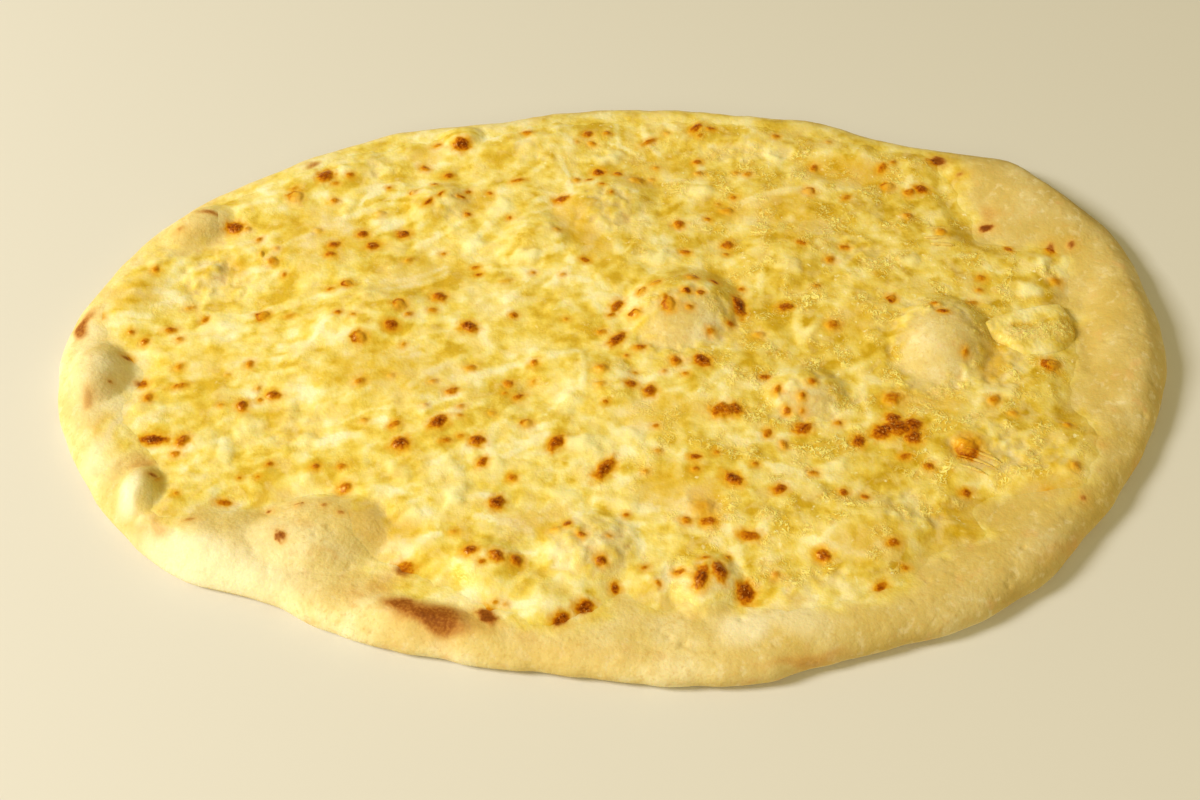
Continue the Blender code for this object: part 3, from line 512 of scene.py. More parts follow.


# %% [markdown]
# ## Lumps, bare tops, oily pools and films
# Cheese does not melt evenly. Thick bits stay as pale, rounded lumps, on the tops of the bubbles it
# runs off and the cream dough shows through, its oil gathers in the hollows as a darker, glassy layer,
# and in places a thin film of it ran on over the rim. Each of the four is a list of ovals with edges
# that noise pushes about. Some pools and films are also painted shade: they darken and yellow the
# shaded flanks of bubbles. Two more shares need no list: the dough has drunk oil near the edge of the
# cheese, and the cheese on a tall bubble is stretched smooth.

# %% Lumps, bare tops, pools and films
# Pale lumps: x, y, half length, half width, turn and height.
LUMPS = on_surface([
    (-1, 84, 5.5, 3.2, 10, 1.3), (-36, 60, 4.5, 4.5, 0, 1.4), (-44, 43, 4.5, 4, 0, 1.3),
    (-48.5, 49, 4, 3.5, 0, 0.8), (13, 38, 6, 4, 10, 1.2), (53, 85, 3.5, 3.5, 0, 0.9),
    (-8, -36, 7.5, 4.2, -10, 1.4), (4, -33, 4.5, 3.6, 0, 1.1), (-44, -53.5, 5.2, 2.8, 90, 1.4),
    (-14, -53, 5.5, 3, 160, 1), (-33, -44, 4.5, 3.5, 30, 1), (-46, -44, 4.5, 3.5, 0, 1),
    (-13, -21, 5, 3.5, 20, 1), (125, 24, 4.5, 3.2, 0, 1.3), (90, 37, 3.6, 3, 20, 1),
    (53, 35, 4, 3, 0, 1), (-55, -60, 4, 3.5, 60, 1.0), (-108, -40, 6, 3, 100, 1),
    (-118, 10, 7, 3.5, 20, 1), (28, 67, 5, 3.5, 150, 1), (112, -16, 5, 3.5, 0, 1),
    (60, -44, 5, 3, 30, 1), (3, -57, 6, 3.5, 60, 0.8), (-133, -22, 5, 3, 0, 0.9),
    (-103, -30, 5, 4, 60, 0.9), (-92, -25, 3.4, 5, 0, 0.8), (-85, -34, 4, 3, 0, 0.8),
    (-114, -34, 3, 4, 0, 0.7), (-84, -50, 4, 4.5, 0, 0.9), (-60, -45, 4, 3, 0, 0.8),
    (-122, -61, 3.4, 2.8, 0, 1.0), (-84, 60, 3, 5, 20, 0.8), (-74, 23, 5, 3, -20, 0.8),
    (-27, 39, 4.5, 3.5, 30, 1.1), (57, 6, 4, 3, 0, 0.9), (72, -55, 4, 3.5, 0, 0.8),
    (54, -52, 3.5, 3, 0, 0.8), (-140, 38, 5, 3, 40, 0.8), (-121, 22, 4, 3.4, 0, 0.9),
    (131.6, 34.5, 6.4, 2.4, 88, 1.3), (137.0, 34.5, 6.0, 1.7, 58, 1.0),
    (-22, 52, 4, 3, 60, 0.8), (94, -55.5, 3, 2.4, 0, 0.8), (40, -60, 4, 3, 40, 0.8),
])
# Where the dough shows: x, y, half length, half width, turn and share.
BARE = on_surface([
    (20, 14, 14, 11, 20, 0.85), (95.5, 4, 17, 12, 60, 0.9), (54, -19, 10, 7, 10, 0.7),
    (-79, -64, 18, 12, 8, 1.0), (-104, -66, 16, 10, -10, 1.0), (-149, -12, 13, 10, 85, 1.0),
    (-129, -52, 8, 7, 90, 1.0), (-7, -69, 13, 9, 20, 0.6), (20, -80, 13, 8, 20, 0.6),
    (-131, 50, 12, 8, 40, 0.8), (-124, 30, 8, 7, 20, 0.6), (-2, 62, 12, 9, 30, 0.45),
    (-52, 62, 9, 7, 15, 0.35), (103, -38, 12, 9, 0, 0.55), (108, -8, 10, 7, 0, 0.5),
    (60, -14, 12, 7, 0, 0.4), (80, -58, 10, 7, 0, 0.35), (118, -40, 9, 6, 40, 0.4),
    (50, 90, 12, 6, -10, 0.5), (38, 88, 9, 6, 0, 0.5), (60, 94, 12, 5, -10, 0.5),
    (-75, 82, 10, 6, 25, 0.35), (-25, 88, 12, 6, 0, 0.25), (112, -2, 9, 8, 0, 0.45),
    (76, 40, 9, 6, 0, 0.35), (85, 14, 9, 5, 30, 0.4), (-34, -84, 12, 6, -10, 0.3),
    (50, -84, 14, 7, 10, 0.4), (-92, -30, 16, 7, 10, 0.25), (-118, 24, 12, 9, 20, 0.35),
])
# Oily film, and painted shade on the right flanks of several bubbles: x, y, half length, half width, turn
# and share.
POOLS_AND_PAINTED_SHADE = on_surface([
    (-11, 51, 16, 5, -62, 0.8), (-44, 64, 6, 5, 0, 0.7), (-62, 86, 6, 5, 60, 0.6),
    (-117, 34, 6, 4, -40, 0.8), (-63, -63, 9, 6, -20, 0.8), (76, 77, 15, 6, -10, 0.9),
    (8, 73, 6, 4, 0, 0.5), (14, 80, 9, 5, 0, 0.4), (24, -54, 5, 6, 0, 0.9),
    (110.5, -3, 3.6, 10, -8, 1.0), (37, 8, 5, 8, 0, 0.5), (14, -50, 9, 7, 20, 0.6),
    (60, 52, 9, 6, 30, 0.6), (35, 60, 9, 6, 0, 0.5), (-90, 45, 14, 9, 20, 0.45),
    (-58, 30, 16, 9, 15, 0.4), (90, -20, 10, 5, 0, 0.7), (95, -60, 7, 5, 0, 0.6),
    (-22, -62, 9, 5, 0, 0.6), (12, -24, 12, 6, 10, 0.4), (-145, 24, 9, 6, 60, 0.5),
    (55, 62, 12, 6, 20, 0.5), (-96, 56, 10, 6, 20, 0.4), (-68, -6, 16, 8, 10, 0.45),
    (-120, -6, 12, 6, 0, 0.3), (70, 12, 9, 5, 0, 0.5), (-60, -10, 16, 9, 0, 0.35),
    (97.5, -34.8, 5.2, 4.4, 0, 1.0), (30, 30, 10, 5, 0, 0.4), (118, -50, 8, 5, 20, 0.5),
    (67, -68, 10, 6, 10, 0.5),
])
# Where a film of cheese ran on over the rim: x, y, half length, half width, turn and share. The row at
# (-139, -16) also yellows the shaded side of the left bubble as painted shade.
FILMS_AND_PAINTED_SHADE = on_surface([
    (-49, -82.5, 13, 4.5, -8, 1.0), (-60, -78.5, 6, 3.5, -30, 0.8), (-139, -16, 7, 3.6, 80, 0.55),
    (-143.8, -27, 6.5, 2.2, 80, 0.6), (-137, -35, 7, 3.4, 70, 0.5), (-126, -50.6, 6, 3.2, 80, 0.6),
    (-20, -88, 18, 6, 0, 0.6), (62, -84, 12, 5, 10, 0.4), (-118, -62, 9, 3, -20, 0.4),
    (30, 96, 40, 9, -2, 0.5),
])
# How far a film moves the edge of the cheese out, and how far the back does between two places in y.
FILM_REACH = 8.0
BACK_REACH = 8.0
BACK = (45.0, 85.0)
# A bubble at least this high has smooth cheese.
TALL_BUBBLE = 2.9
# Where the soaked dough begins and ends outside the edge of the cheese, and inside it.
SOAKED_OUTSIDE = (-16.0, -1.0)
SOAKED_INSIDE = (2.0, 10.0)
# How far and how finely the edge of a patch wavers.
PATCH_WAVER = (2.0, 7.0)
# Height, size and seed of the noises that break up the bare tops and both edges.
TOP_MOTTLE = [(1.0, 4.0, 57), (0.6, 1.8, 58)]
RAGGED_EDGE = [(5.0, 9.0, 43), (2.5, 3.5, 42)]
SOAKED_EDGE = [(5.0, 14.0, 34)]


def patches(points, ovals, softness, seed):
    """Shares of soft-edged ovals, their edges pushed about by noise."""
    moved = pushed(points, *PATCH_WAVER, seed)
    share = np.zeros(len(points))
    for x, y, half_length, half_width, turn, amount in ovals:
        here = near(points, x, y, 1.6 * max(half_length, half_width) + 3.0)
        reach = oval_reach(moved[here], x, y, half_length, half_width, turn)
        share[here] = np.maximum(share[here], amount * (1.0 - ease(reach, 1.0 - softness, 1.0 + softness)))
    return share


def soaked(points, inset):
    """How much oil the dough has drunk: most at the edge of the cheese, less outwards and inwards."""
    outside = ease(rippled(points, SOAKED_EDGE, inset), *SOAKED_OUTSIDE)
    return outside * (1.0 - ease(inset, *SOAKED_INSIDE))


def bare_share(points, inset):
    """How much the dough's colour shows, and how much of that is on tops that the cheese ran off."""
    tops = patches(points, BARE, 0.5, 41)
    bare = ease(tops + 2.4 * tops * (1.0 - tops) * rippled(points, TOP_MOTTLE), 0.15, 0.95)
    film_and_shade = patches(points, FILMS_AND_PAINTED_SHADE, 0.6, 32)
    ragged = rippled(points, RAGGED_EDGE, inset)
    ragged = ragged + FILM_REACH * film_and_shade + BACK_REACH * ease(points[:, 1], *BACK)
    return np.maximum(bare, 1.0 - ease(ragged, -2.0, 7.0)) * (1.0 - film_and_shade), tops


def on_tall_bubble(points):
    """How much each point lies on a tall bubble, where the cheese is stretched smooth."""
    share = np.zeros(len(points))
    for x, y, half_length, half_width, turn, rise in BUBBLES:
        if rise >= TALL_BUBBLE:
            reach = oval_reach(points, x, y, half_length, half_width, turn)
            share = np.maximum(share, 1.0 - ease(reach, 0.7, 1.2))
    return share


print(len(LUMPS), "lumps,", len(BARE), "bare tops,", len(POOLS_AND_PAINTED_SHADE), "pools")

# %% [markdown]
# ## Grated strands that melted flat
# The cheese went on as coarse strands, about 3.5 mm wide and 20 mm long. Melted, they are low rounded
# bars lying over each other, with creases between. On the left they lie mostly one way, on the right
# every way. Making hundreds of separate bars would leave seams, so each strand only raises the sheet:
# the highest strand at a point wins, and what is left between them is the crease.

# %% Relief of the melted strands
STRAND_COUNT = 1150
STRAND_SEED = 5
STRAND_HALF_LENGTH = (6.0, 12.5)
STRAND_HALF_WIDTH = (1.2, 2.1)
STRAND_BEND = (-0.25, 0.25)
STRAND_LIFT = (0.55, 1.0)
# Their usual direction, how much it scatters on the left and how much more on the right, in degrees.
STRAND_LEAN = 20.0
STRAND_SCATTER = 16.0
STRAND_DISORDER = 60.0
# What a strand still adds where it lies under another.
STRAND_UNDER = 0.12


def melted_strands(points):
    """Height of the strands from 0 to 1, and how pale the uppermost strand is."""
    random = np.random.default_rng(STRAND_SEED)
    level, tone = np.zeros(len(points)), np.zeros(len(points))
    for _ in range(STRAND_COUNT):
        angle, share = random.uniform(0.0, 360.0), random.uniform() ** 0.5
        reach = share * bread_radius(np.array([angle]))[0]
        x, y = reach * np.cos(np.radians(angle)), reach * np.sin(np.radians(angle))
        half_length, half_width = random.uniform(*STRAND_HALF_LENGTH), random.uniform(*STRAND_HALF_WIDTH)
        aligned = float(ease(np.array([-x]), -20.0, 50.0)[0])
        scatter = STRAND_SCATTER + STRAND_DISORDER * (1.0 - aligned)
        turn = np.radians(STRAND_LEAN + random.normal(0.0, scatter))
        bend, shade, lift = random.uniform(*STRAND_BEND), random.uniform(), random.uniform(*STRAND_LIFT)
        here = near(points, x, y, half_length + 1.0)
        dx, dy = points[here, 0] - x, points[here, 1] - y
        along = dx * np.cos(turn) + dy * np.sin(turn)
        bow = bend * (along**2 / half_length - half_length * 0.3)
        across = dy * np.cos(turn) - dx * np.sin(turn) - bow
        ends = 1.0 - ease(np.abs(along) / half_length, 0.75, 1.0)
        bar = lift * np.sqrt(np.clip(1.0 - (across / half_width) ** 2, 0.0, 1.0)) * ends
        over = bar > level[here]
        tone[here[over]] = shade
        level[here] = np.maximum(level[here], bar) + STRAND_UNDER * np.minimum(level[here], bar)
    return level, tone


# %% [markdown]
# ## Nets of triangles
# A surface that is only a height needs an even net of points, finer where there is more to show. The
# points come from one triangular lattice: every second point where the surface is plain, every point
# where it is not. Delaunay triangulation then joins them inside a fixed outline. A grid would be
# simpler, but its squares leave steps along a round edge.

# %% Nets and closed meshes
INSIDE_ONLY = 1
CORNER_MERGE = 1e-5


def lattice(spacing):
    """A triangular lattice over the whole bread, with each point's row and place in the row."""
    width, depth = np.ptp(BREAD_EDGE, axis=0)
    columns = np.arange(-int(width / 2 / spacing) - 8, int(width / 2 / spacing) + 8)
    rows = np.arange(-int(depth / 1.7 / spacing) - 8, int(depth / 1.7 / spacing) + 8)
    column, row = (grid.ravel() for grid in np.meshgrid(columns, rows))
    points = np.stack([(column + 0.5 * (row % 2)) * spacing, row * spacing * np.sqrt(0.75)], axis=1)
    return points, column, row


def every(column, row, step):
    """Which lattice points belong to the lattice that is `step` times as coarse."""
    return (row % step == 0) & ((column + (row % 2) // 2) % step == (row // step % 2) * (step // 2))


def close_to(points, spots, factor, margin):
    """Which points are on or just round the spots."""
    found = np.zeros(len(points), bool)
    for x, y, half_length, half_width, turn, *_ in spots:
        here = near(points, x, y, factor * half_length + margin)
        reach = oval_reach(points[here], x, y, half_length + margin, half_width + margin, turn)
        found[here] |= reach < factor
    return found


def triangulate(points, loop_length):
    """Anticlockwise triangles between the points, inside the loop that the first points make."""
    sides = [(i, (i + 1) % loop_length) for i in range(loop_length)]
    flat = [Vector(point) for point in points]
    made, _, faces, origins, _, _ = delaunay_2d_cdt(flat, sides, [], INSIDE_ONLY, CORNER_MERGE)
    assert len(made) == len(points)
    source = np.array([origin[0] for origin in origins])
    triangles = source[np.array(faces)]
    first, second, third = (points[triangles[:, corner]] for corner in range(3))
    a, b = second - first, third - first
    clockwise = a[:, 0] * b[:, 1] - a[:, 1] * b[:, 0] < 0.0
    triangles[clockwise] = triangles[clockwise][:, ::-1]
    return triangles


def inset_loop(loop, depth):
    """The loop moved inwards, square to its own line."""
    along = np.roll(loop, -1, axis=0) - np.roll(loop, 1, axis=0)
    inwards = np.stack([-along[:, 1], along[:, 0]], axis=1)
    return loop + depth * inwards / np.linalg.norm(inwards, axis=1, keepdims=True)


def wall(lower, upper):
    """Triangles between two closed rows of corners, facing out where the rows run anticlockwise."""
    following = np.roll(np.arange(len(lower)), -1)
    lower, upper = np.asarray(lower), np.asarray(upper)
    first = np.stack([lower, lower[following], upper[following]], axis=1)
    second = np.stack([lower, upper[following], upper], axis=1)
    return np.concatenate([first, second])


def lifted(points, heights):
    """Plan points with their heights, in metres, moved so that the bread's box is centred."""
    return np.column_stack([points - MIDDLE, heights]) * MM


def make_piece(name, corners, triangles, attributes):
    """A smooth-shaded mesh object at the origin, with a number for each corner under each name."""
    mesh = bpy.data.meshes.new(name)
    mesh.from_pydata(corners.tolist(), [], triangles.tolist())
    for label, values in attributes.items():
        filled = np.zeros(len(corners), np.float32)
        filled[: len(values)] = values
        mesh.attributes.new(label, "FLOAT", "POINT").data.foreach_set("value", filled)
    mesh.shade_smooth()
    print(name, len(triangles), "triangles, box in mm", (np.ptp(corners, axis=0) / MM).round(1))
    return placed(name, mesh)


def make_layer(name, loop_length, net, heights, bottom, bottom_heights, attributes):
    """A closed piece: a net on top, a coarser one below and a wall between their equal loops."""
    top = triangulate(net, loop_length)
    under = triangulate(bottom, loop_length)[:, ::-1] + len(net)
    sides = wall(np.arange(loop_length) + len(net), np.arange(loop_length))
    corners = np.concatenate([lifted(net, heights), lifted(bottom, bottom_heights)])
    return make_piece(name, corners, np.concatenate([top, sides, under]), attributes)


# %% [markdown]
# ## The bread
# Only its rim and its rolled edge show, so the net is fine there and coarse under the cheese. The bare
# crust is not smooth: flour leaves a faint grain, gas leaves pores, and the oven tans it in places. The
# edge rolls under in six steps down to the flat base it was baked on.

# %% Rim colours and marks
# Toasted places of the rim: x, y, half length, half width, turn and burn.
RIM_TOAST = on_surface([
    (-47.8, -90.6, 12.0, 3.8, -15, 0.82), (-49.0, -90.2, 8.5, 3.0, -15, 0.88),
    (-56, -87.6, 4.5, 3.0, -35, 0.78), (-61, -82.6, 5, 1.8, -42, 0.42),
    (-66.8, -87.5, 3, 2.4, -30, 0.3), (-47, -96.5, 10, 3.4, -12, 0.32),
    (-127.5, 58.2, 5.0, 1.8, -12, 0.65), (-99, 80.8, 3, 1.8, 15, 0.6), (-157.4, 9.8, 5.6, 2.2, 82, 0.8),
    (-150, -19.5, 4.4, 2.2, 80, 0.5), (-135, -42, 4, 3, 0, 0.2), (-126.5, -63.5, 5, 4, 60, 0.35),
    (47, -104, 13, 1.6, 8, 0.45), (117.9, 56.9, 4.2, 3, 60, 0.42), (-23, -98, 3.5, 1.8, 0, 0.3),
    (-68, -84, 6, 5, 0, 0.28), (-62, -82, 5, 4, 0, 0.4), (143, -44, 8, 2.0, 55, 0.35),
    (118, -70, 12, 2.0, 35, 0.3), (-10, -101, 22, 3, -4, 0.22), (-132, 51, 7, 4, 40, 0.2),
    (-143.5, -27.5, 6.0, 1.7, 80, 0.3), (-122.5, -63.0, 5.5, 2.6, -60, 0.4),
    (-131, -41.5, 3.4, 2.6, 0, 0.45),
])
# Gas pores that can be told apart: x, y, half length, half width, turn and depth.
PORES = on_surface([
    (-133.2, -53.4, 0.5, 0.4, 0, 1.2), (107, -70, 0.9, 0.7, 30, 0.8), (101, -82, 0.9, 0.6, 0, 0.7),
    (149, -25, 1.1, 0.8, 70, 0.6), (144, 3.6, 0.8, 0.6, 0, 0.6), (149, 5, 1.2, 0.5, 10, 0.5),
    (154, -13, 0.7, 0.6, 0, 0.6), (16.5, -99.5, 1.2, 0.8, 20, 0.8), (48, -87, 1.3, 0.9, 30, 0.7),
    (31.5, -92.5, 1.0, 0.7, 0, 0.6), (103, -79, 1.0, 0.5, 40, 0.6), (80.5, -80.5, 0.8, 0.6, 0, 0.6),
    (120.5, -19.5, 0.6, 0.5, 0, 0.7), (98, -15.5, 0.8, 0.5, 0, 0.5),
])
# The shallow pores all round: how many, how far in from the edge, half width, how much longer they
# are than wide, and depth.
PORE_COUNT = 260
PORE_INSET = (2.0, 30.0)
PORE_HALF_WIDTH = (0.35, 0.8)
PORE_STRETCH = (1.0, 1.8)
PORE_DEPTH = 0.25
# Pale, floury swells of the rim: x, y, half length, half width, turn and share. The first, on the small
# bubble, is also a painted highlight on its lit side.
FLOURY_SWELLS = on_surface([
    (-132.4, -50.8, 5.6, 3.3, 80, 1.0), (-107, -75, 24, 8, -16, 0.8), (-155, 2, 9, 3.5, 85, 0.4),
    (-124, -62, 4, 3, 0, 0.7), (32, -94, 7, 5, 20, 0.8), (44, -92, 9, 4, 0, 0.5),
])
# Places that are only paler, listed the same way; on the first two bubbles this is painted light that lifts
# their shaded sides.
PALE_AND_PAINTED_LIGHT_PLACES = on_surface([
    (-93, -68, 9, 7, 5, 0.4), (-148, -12, 12, 8, 85, 0.4), (-141, -34, 13, 5, 72, 0.5),
])
FLOURY_RISE = 0.5
# Soft unevenness of the crust, then its grain: height, size and seed.
RIM_UNEVENNESS = [(0.22, 17.0, 21), (0.12, 6.0, 22)]
RIM_GRAIN = [(0.08, 2.1, 23), (0.05, 1.2, 24)]


def rim_marks(points):
    """Relief of the bare crust: soft unevenness, grain, floury swells and pores."""
    relief = rippled(points, RIM_UNEVENNESS)
    relief += rippled(points, RIM_GRAIN)
    relief += FLOURY_RISE * patches(points, FLOURY_SWELLS, 0.6, 33)
    random = np.random.default_rng(25)
    pits = list(PORES)
    for angle in random.uniform(0.0, 360.0, PORE_COUNT):
        reach = bread_radius(np.array([angle]))[0] - random.uniform(*PORE_INSET)
        size = random.uniform(*PORE_HALF_WIDTH)
        place = (reach * np.cos(np.radians(angle)), reach * np.sin(np.radians(angle)))
        length = size * random.uniform(*PORE_STRETCH)
        pits.append((*place, length, size, random.uniform(0.0, 180.0), PORE_DEPTH))
    for x, y, half_length, half_width, turn, depth in pits:
        here = near(points, x, y, 2.5 * half_length)
        reach = oval_reach(points[here], x, y, half_length, half_width, turn)
        relief[here] -= depth * np.exp(-(reach**2))
    return relief


def far_side(points):
    """How far towards the right end a point is, where dough and cheese are deeper in colour."""
    return ease(points[:, 0] + 0.3 * points[:, 1] + 14.0 * ripple(points, 40.0, 45), -70.0, 90.0)


# %% Mesh of the bread
EDGE_POINTS = 1440
BREAD_SPACING = 0.72
BREAD_STEP = 4
EDGE_RINGS = (0.12, 0.35, 0.75, 1.35)
EDGE_CLEAR = 1.75
ROLL_STEPS = 6
ROLL_INSET = 3.8
BASE_SPACING = 6.0
UNDER_CHEESE = 11.0
# The share of a blister's height that one on the bare rim keeps.
RIM_BLISTER = 0.6
# The net is coarse under the cheese, so it lies lower there and does not cut through the thin sheet.
COARSE_CLEARANCE = 0.8

outline = polar_loop(bread_radius, EDGE_POINTS)
rings = [inset_loop(outline, depth) for depth in EDGE_RINGS]
points, column, row = lattice(BREAD_SPACING)
angle, radius = polar(points)
points, column, row = (part[radius < bread_radius(angle) - EDGE_CLEAR] for part in (points, column, row))
bare_rim = cheese_inset(points) < UNDER_CHEESE
points = points[bare_rim | every(column, row, BREAD_STEP)]
points = points[distance_to(BREAD_TREE, points) > EDGE_CLEAR]
net = np.concatenate([outline, *rings, points])
triangles = triangulate(net, EDGE_POINTS)

inset = cheese_inset(net)
from_edge = distance_to(BREAD_TREE, net)
rim_share = 1.0 - ease(inset, -1.0, 3.0)
burn, oil, blister = browning(net)
marks = rim_marks(net) + RIM_BLISTER * blister
height = dough_top(net) + rim_share * ease(from_edge, 0.0, 2.5) * marks
height = height - COARSE_CLEARANCE * ease(inset, 5.0, 10.0)
bare, _ = bare_share(net, inset)
attributes = {
    "burn": np.maximum(burn, patches(net, RIM_TOAST, 0.8, 31)),
    "oil": 0.45 * oil,
    "film_and_shade": (1.0 - bare) * ease(from_edge, 1.0, 4.0),
    "flour_and_painted_light": patches(net, FLOURY_SWELLS + PALE_AND_PAINTED_LIGHT_PLACES, 0.6, 33),
    "greasy": soaked(net, inset),
    "aged": far_side(net),
}
corners = [lifted(net, height)]
rows = [np.arange(EDGE_POINTS)]
faces = [triangles]
count = len(net)
for step in range(1, ROLL_STEPS + 1):
    turn = 0.5 * np.pi * step / ROLL_STEPS
    ring = inset_loop(outline, ROLL_INSET * (1.0 - np.cos(turn)))
    corners.append(lifted(ring, np.full(EDGE_POINTS, EDGE_HEIGHT * (1.0 - np.sin(turn)))))
    rows.append(np.arange(count, count + EDGE_POINTS))
    faces.append(wall(rows[-1], rows[-2]))
    count += EDGE_POINTS
base = inset_loop(outline, ROLL_INSET)
inner, _, _ = lattice(BASE_SPACING)
angle, radius = polar(inner)
inner = inner[radius < bread_radius(angle) - ROLL_INSET - BASE_SPACING]
under = triangulate(np.concatenate([base, inner]), EDGE_POINTS)[:, ::-1]
under = np.where(under < EDGE_POINTS, under + rows[-1][0], under - EDGE_POINTS + count)
corners.append(lifted(inner, np.zeros(len(inner))))
bread = make_piece("bread", np.concatenate(corners), np.concatenate([*faces, under]), attributes)

# %% [markdown]
# ## The melted cheese
# One closed sheet lies on the dough: thin at its edge, where it sinks in, 1.8 mm thick inside and
# thinner where the dough shows. Its top carries everything read above: low swells, melted strands,
# lumps, blisters and, most of all on the right, crinkles of cheese that dried before it ran smooth.
# The fine relief fades where the cheese is thin, oily or stretched. Numbers for the colours go along as
# attributes.

# %% Mesh of the melted cheese
CHEESE_EDGE_POINTS = 1200
CHEESE_SPACING = 0.44
SHEET_FEATHER = 11.0
# The edge is sunk in the dough, and the sheet comes up out of it over this width.
SUNK_EDGE = 0.45
EDGE_RISE = 4.0
LEAST_THICKNESS = 0.12
# The underside lies inside the dough, deep enough that its wide triangles don't cut through a bubble.
UNDERSIDE_DEPTH = 1.0
UNDERSIDE_SPACING = 2.5
# The amber ring blister lies in a shallow bowl: x, y, half length, half width, turn, then its depth.
RING_BLISTER = (98.0, -36.0, 6.5, 5.5, 0)
RING_SINK = 0.8
# Swells of the sheet and the places of its crinkles: height, size and seed.
SHEET_SWELLS = [(0.33, 11.0, 51), (0.26, 5.5, 52), (0.13, 2.8, 53)]
CRINKLE_PLACES = [(0.8, 10.0, 46), (0.7, 5.0, 47)]
# Height of the strands on the left, and how much less it is on the right.
STRAND_HEIGHT = 0.22
STRAND_FLATTER = 0.13
CRINKLE_HEIGHT = 0.14
TOP_CREASES = 0.03
FINE_GRAIN = 0.05
POOL_DEPTH = 0.5
# How much thinner the sheet is where the dough shows.
BARE_THINNER = 0.7
# The edge of a lump wavers this far, this finely and by this seed, and a lump this high is all pale.
LUMP_WAVER = (2.4, 4.5, 48)
PALE_LUMP = 1.35
# What a bare top, a pool and a tall bubble take away from the relief, and a tall bubble from the grain.
BARE_CALM, POOL_CALM, TALL_CALM, GRAIN_CALM = 0.7, 0.5, 0.75, 0.6

cheese_outline = polar_loop(cheese_radius, CHEESE_EDGE_POINTS)
points, column, row = lattice(CHEESE_SPACING)
angle, radius = polar(points)
inside = radius < cheese_radius(angle) - CHEESE_SPACING
keep = inside & (every(column, row, 2) | close_to(points, SPOTS + CRESCENTS, 1.25, 0.3))
points = points[keep]
points = points[cheese_inset(points) > 0.5 * CHEESE_SPACING]
net = np.concatenate([cheese_outline, points])

inset = cheese_inset(net)
body = ease(inset, 1.0, 8.0)
bare, top_share = bare_share(net, inset)
# The oily pools together with the painted shade on bubble flanks.
pool_and_shade = patches(net, POOLS_AND_PAINTED_SHADE, 0.5, 44) * (1.0 - 0.3 * bare)
burn, oil, blister = browning(net)
level, tone = melted_strands(net)
right = ease(net[:, 0] + 12.0 * ripple(net, 40.0, 45), -25.0, 55.0)
crinkle = ease(rippled(net, CRINKLE_PLACES), -0.05, 0.6)
crinkle = crinkle * (0.16 + 0.84 * right) * (1.0 - 0.85 * bare) * (1.0 - 0.5 * pool_and_shade) * body
lump = np.zeros(len(net))
pale = np.zeros(len(net))
for x, y, half_length, half_width, turn, rise in LUMPS:
    here = near(net, x, y, 1.5 * max(half_length, half_width) + 2.0)
    reach = oval_reach(pushed(net[here], *LUMP_WAVER), x, y, half_length, half_width, turn)
    lump[here] = np.maximum(lump[here], 0.5 * rise * dome(np.minimum(reach, 1.0)))
    strength = min(1.0, (rise / PALE_LUMP) ** 2)
    pale[here] = np.maximum(pale[here], strength * (1.0 - ease(reach, 0.35, 1.25)))
tall = on_tall_bubble(net)
calm = (1.0 - BARE_CALM * bare - POOL_CALM * pool_and_shade) * (1.0 - TALL_CALM * tall)
bars = (STRAND_HEIGHT - STRAND_FLATTER * right) * level
relief = calm * (rippled(net, SHEET_SWELLS) + bars + CRINKLE_HEIGHT * crinkle * ridges(net, 2.2, 54))
relief = relief - POOL_DEPTH * pool_and_shade
relief = relief + lump + blister + TOP_CREASES * bare * ridges(net, 2.6, 56)
relief = relief + FINE_GRAIN * (1.0 - GRAIN_CALM * tall) * ripple(net, 1.7, 55)
relief = relief - RING_SINK * dome(np.minimum(oval_reach(net, *RING_BLISTER), 1.0))
sunk = np.clip(1.0 - inset / EDGE_RISE, 0.0, 1.0)
thickness = SHEET_THICKNESS * ease(inset, 0.3 * EDGE_RISE, SHEET_FEATHER) - SUNK_EDGE * sunk**2
thickness = thickness - BARE_THINNER * bare * ease(inset, 6.0, 13.0)
least = LEAST_THICKNESS - (LEAST_THICKNESS + SUNK_EDGE) * sunk
height = dough_top(net) + np.maximum(thickness + relief * body, least)
attributes = {
    "burn": burn,
    "oil": oil,
    "bare": bare,
    "greasy": soaked(net, inset),
    "pool_and_shade": pool_and_shade,
    "pale": pale,
    "crinkle": crinkle,
    "aged": far_side(net) * (1.0 - 0.6 * top_share),
    "tone": tone * level,
}
inner, _, _ = lattice(UNDERSIDE_SPACING)
bottom = np.concatenate([cheese_outline, inner[cheese_inset(inner) > UNDERSIDE_SPACING]])
depths = dough_top(bottom) - UNDERSIDE_DEPTH
cheese = make_layer("melted_cheese_sheet", CHEESE_EDGE_POINTS, net, height, bottom, depths, attributes)

# %% [markdown]
# ## Building materials
# Each material is a small graph of nodes that starts from an ordinary name and a typical roughness.
# Colours are written as sRGB hex, as a picture editor shows them, and turned to linear in one place.
# Pattern sizes are real: a noise of 3 mm has a scale of one over 3 mm, because coordinates are metres.

# %% Colour, scale and node helpers
def linear(code):
    """A linear colour from an sRGB hex code."""
    values = np.array([int(code[place : place + 2], 16) / 255.0 for place in (1, 3, 5)])
    values = np.where(values <= 0.04045, values / 12.92, ((values + 0.055) / 1.055) ** 2.4)
    return (*values, 1.0)


def add(tree, kind, inputs=None, **settings):
    """Adds a node with its settings and its sockets by name, each a value or what feeds it."""
    node = tree.nodes.new(kind)
    for name, value in settings.items():
        setattr(node, name, value)
    for name, value in (inputs or {}).items():
        socket = next(socket for socket in node.inputs if name in (socket.identifier, socket.name))
        if isinstance(value, bpy.types.NodeSocket):
            tree.links.new(value, socket)
        else:
            socket.default_value = value
    return node


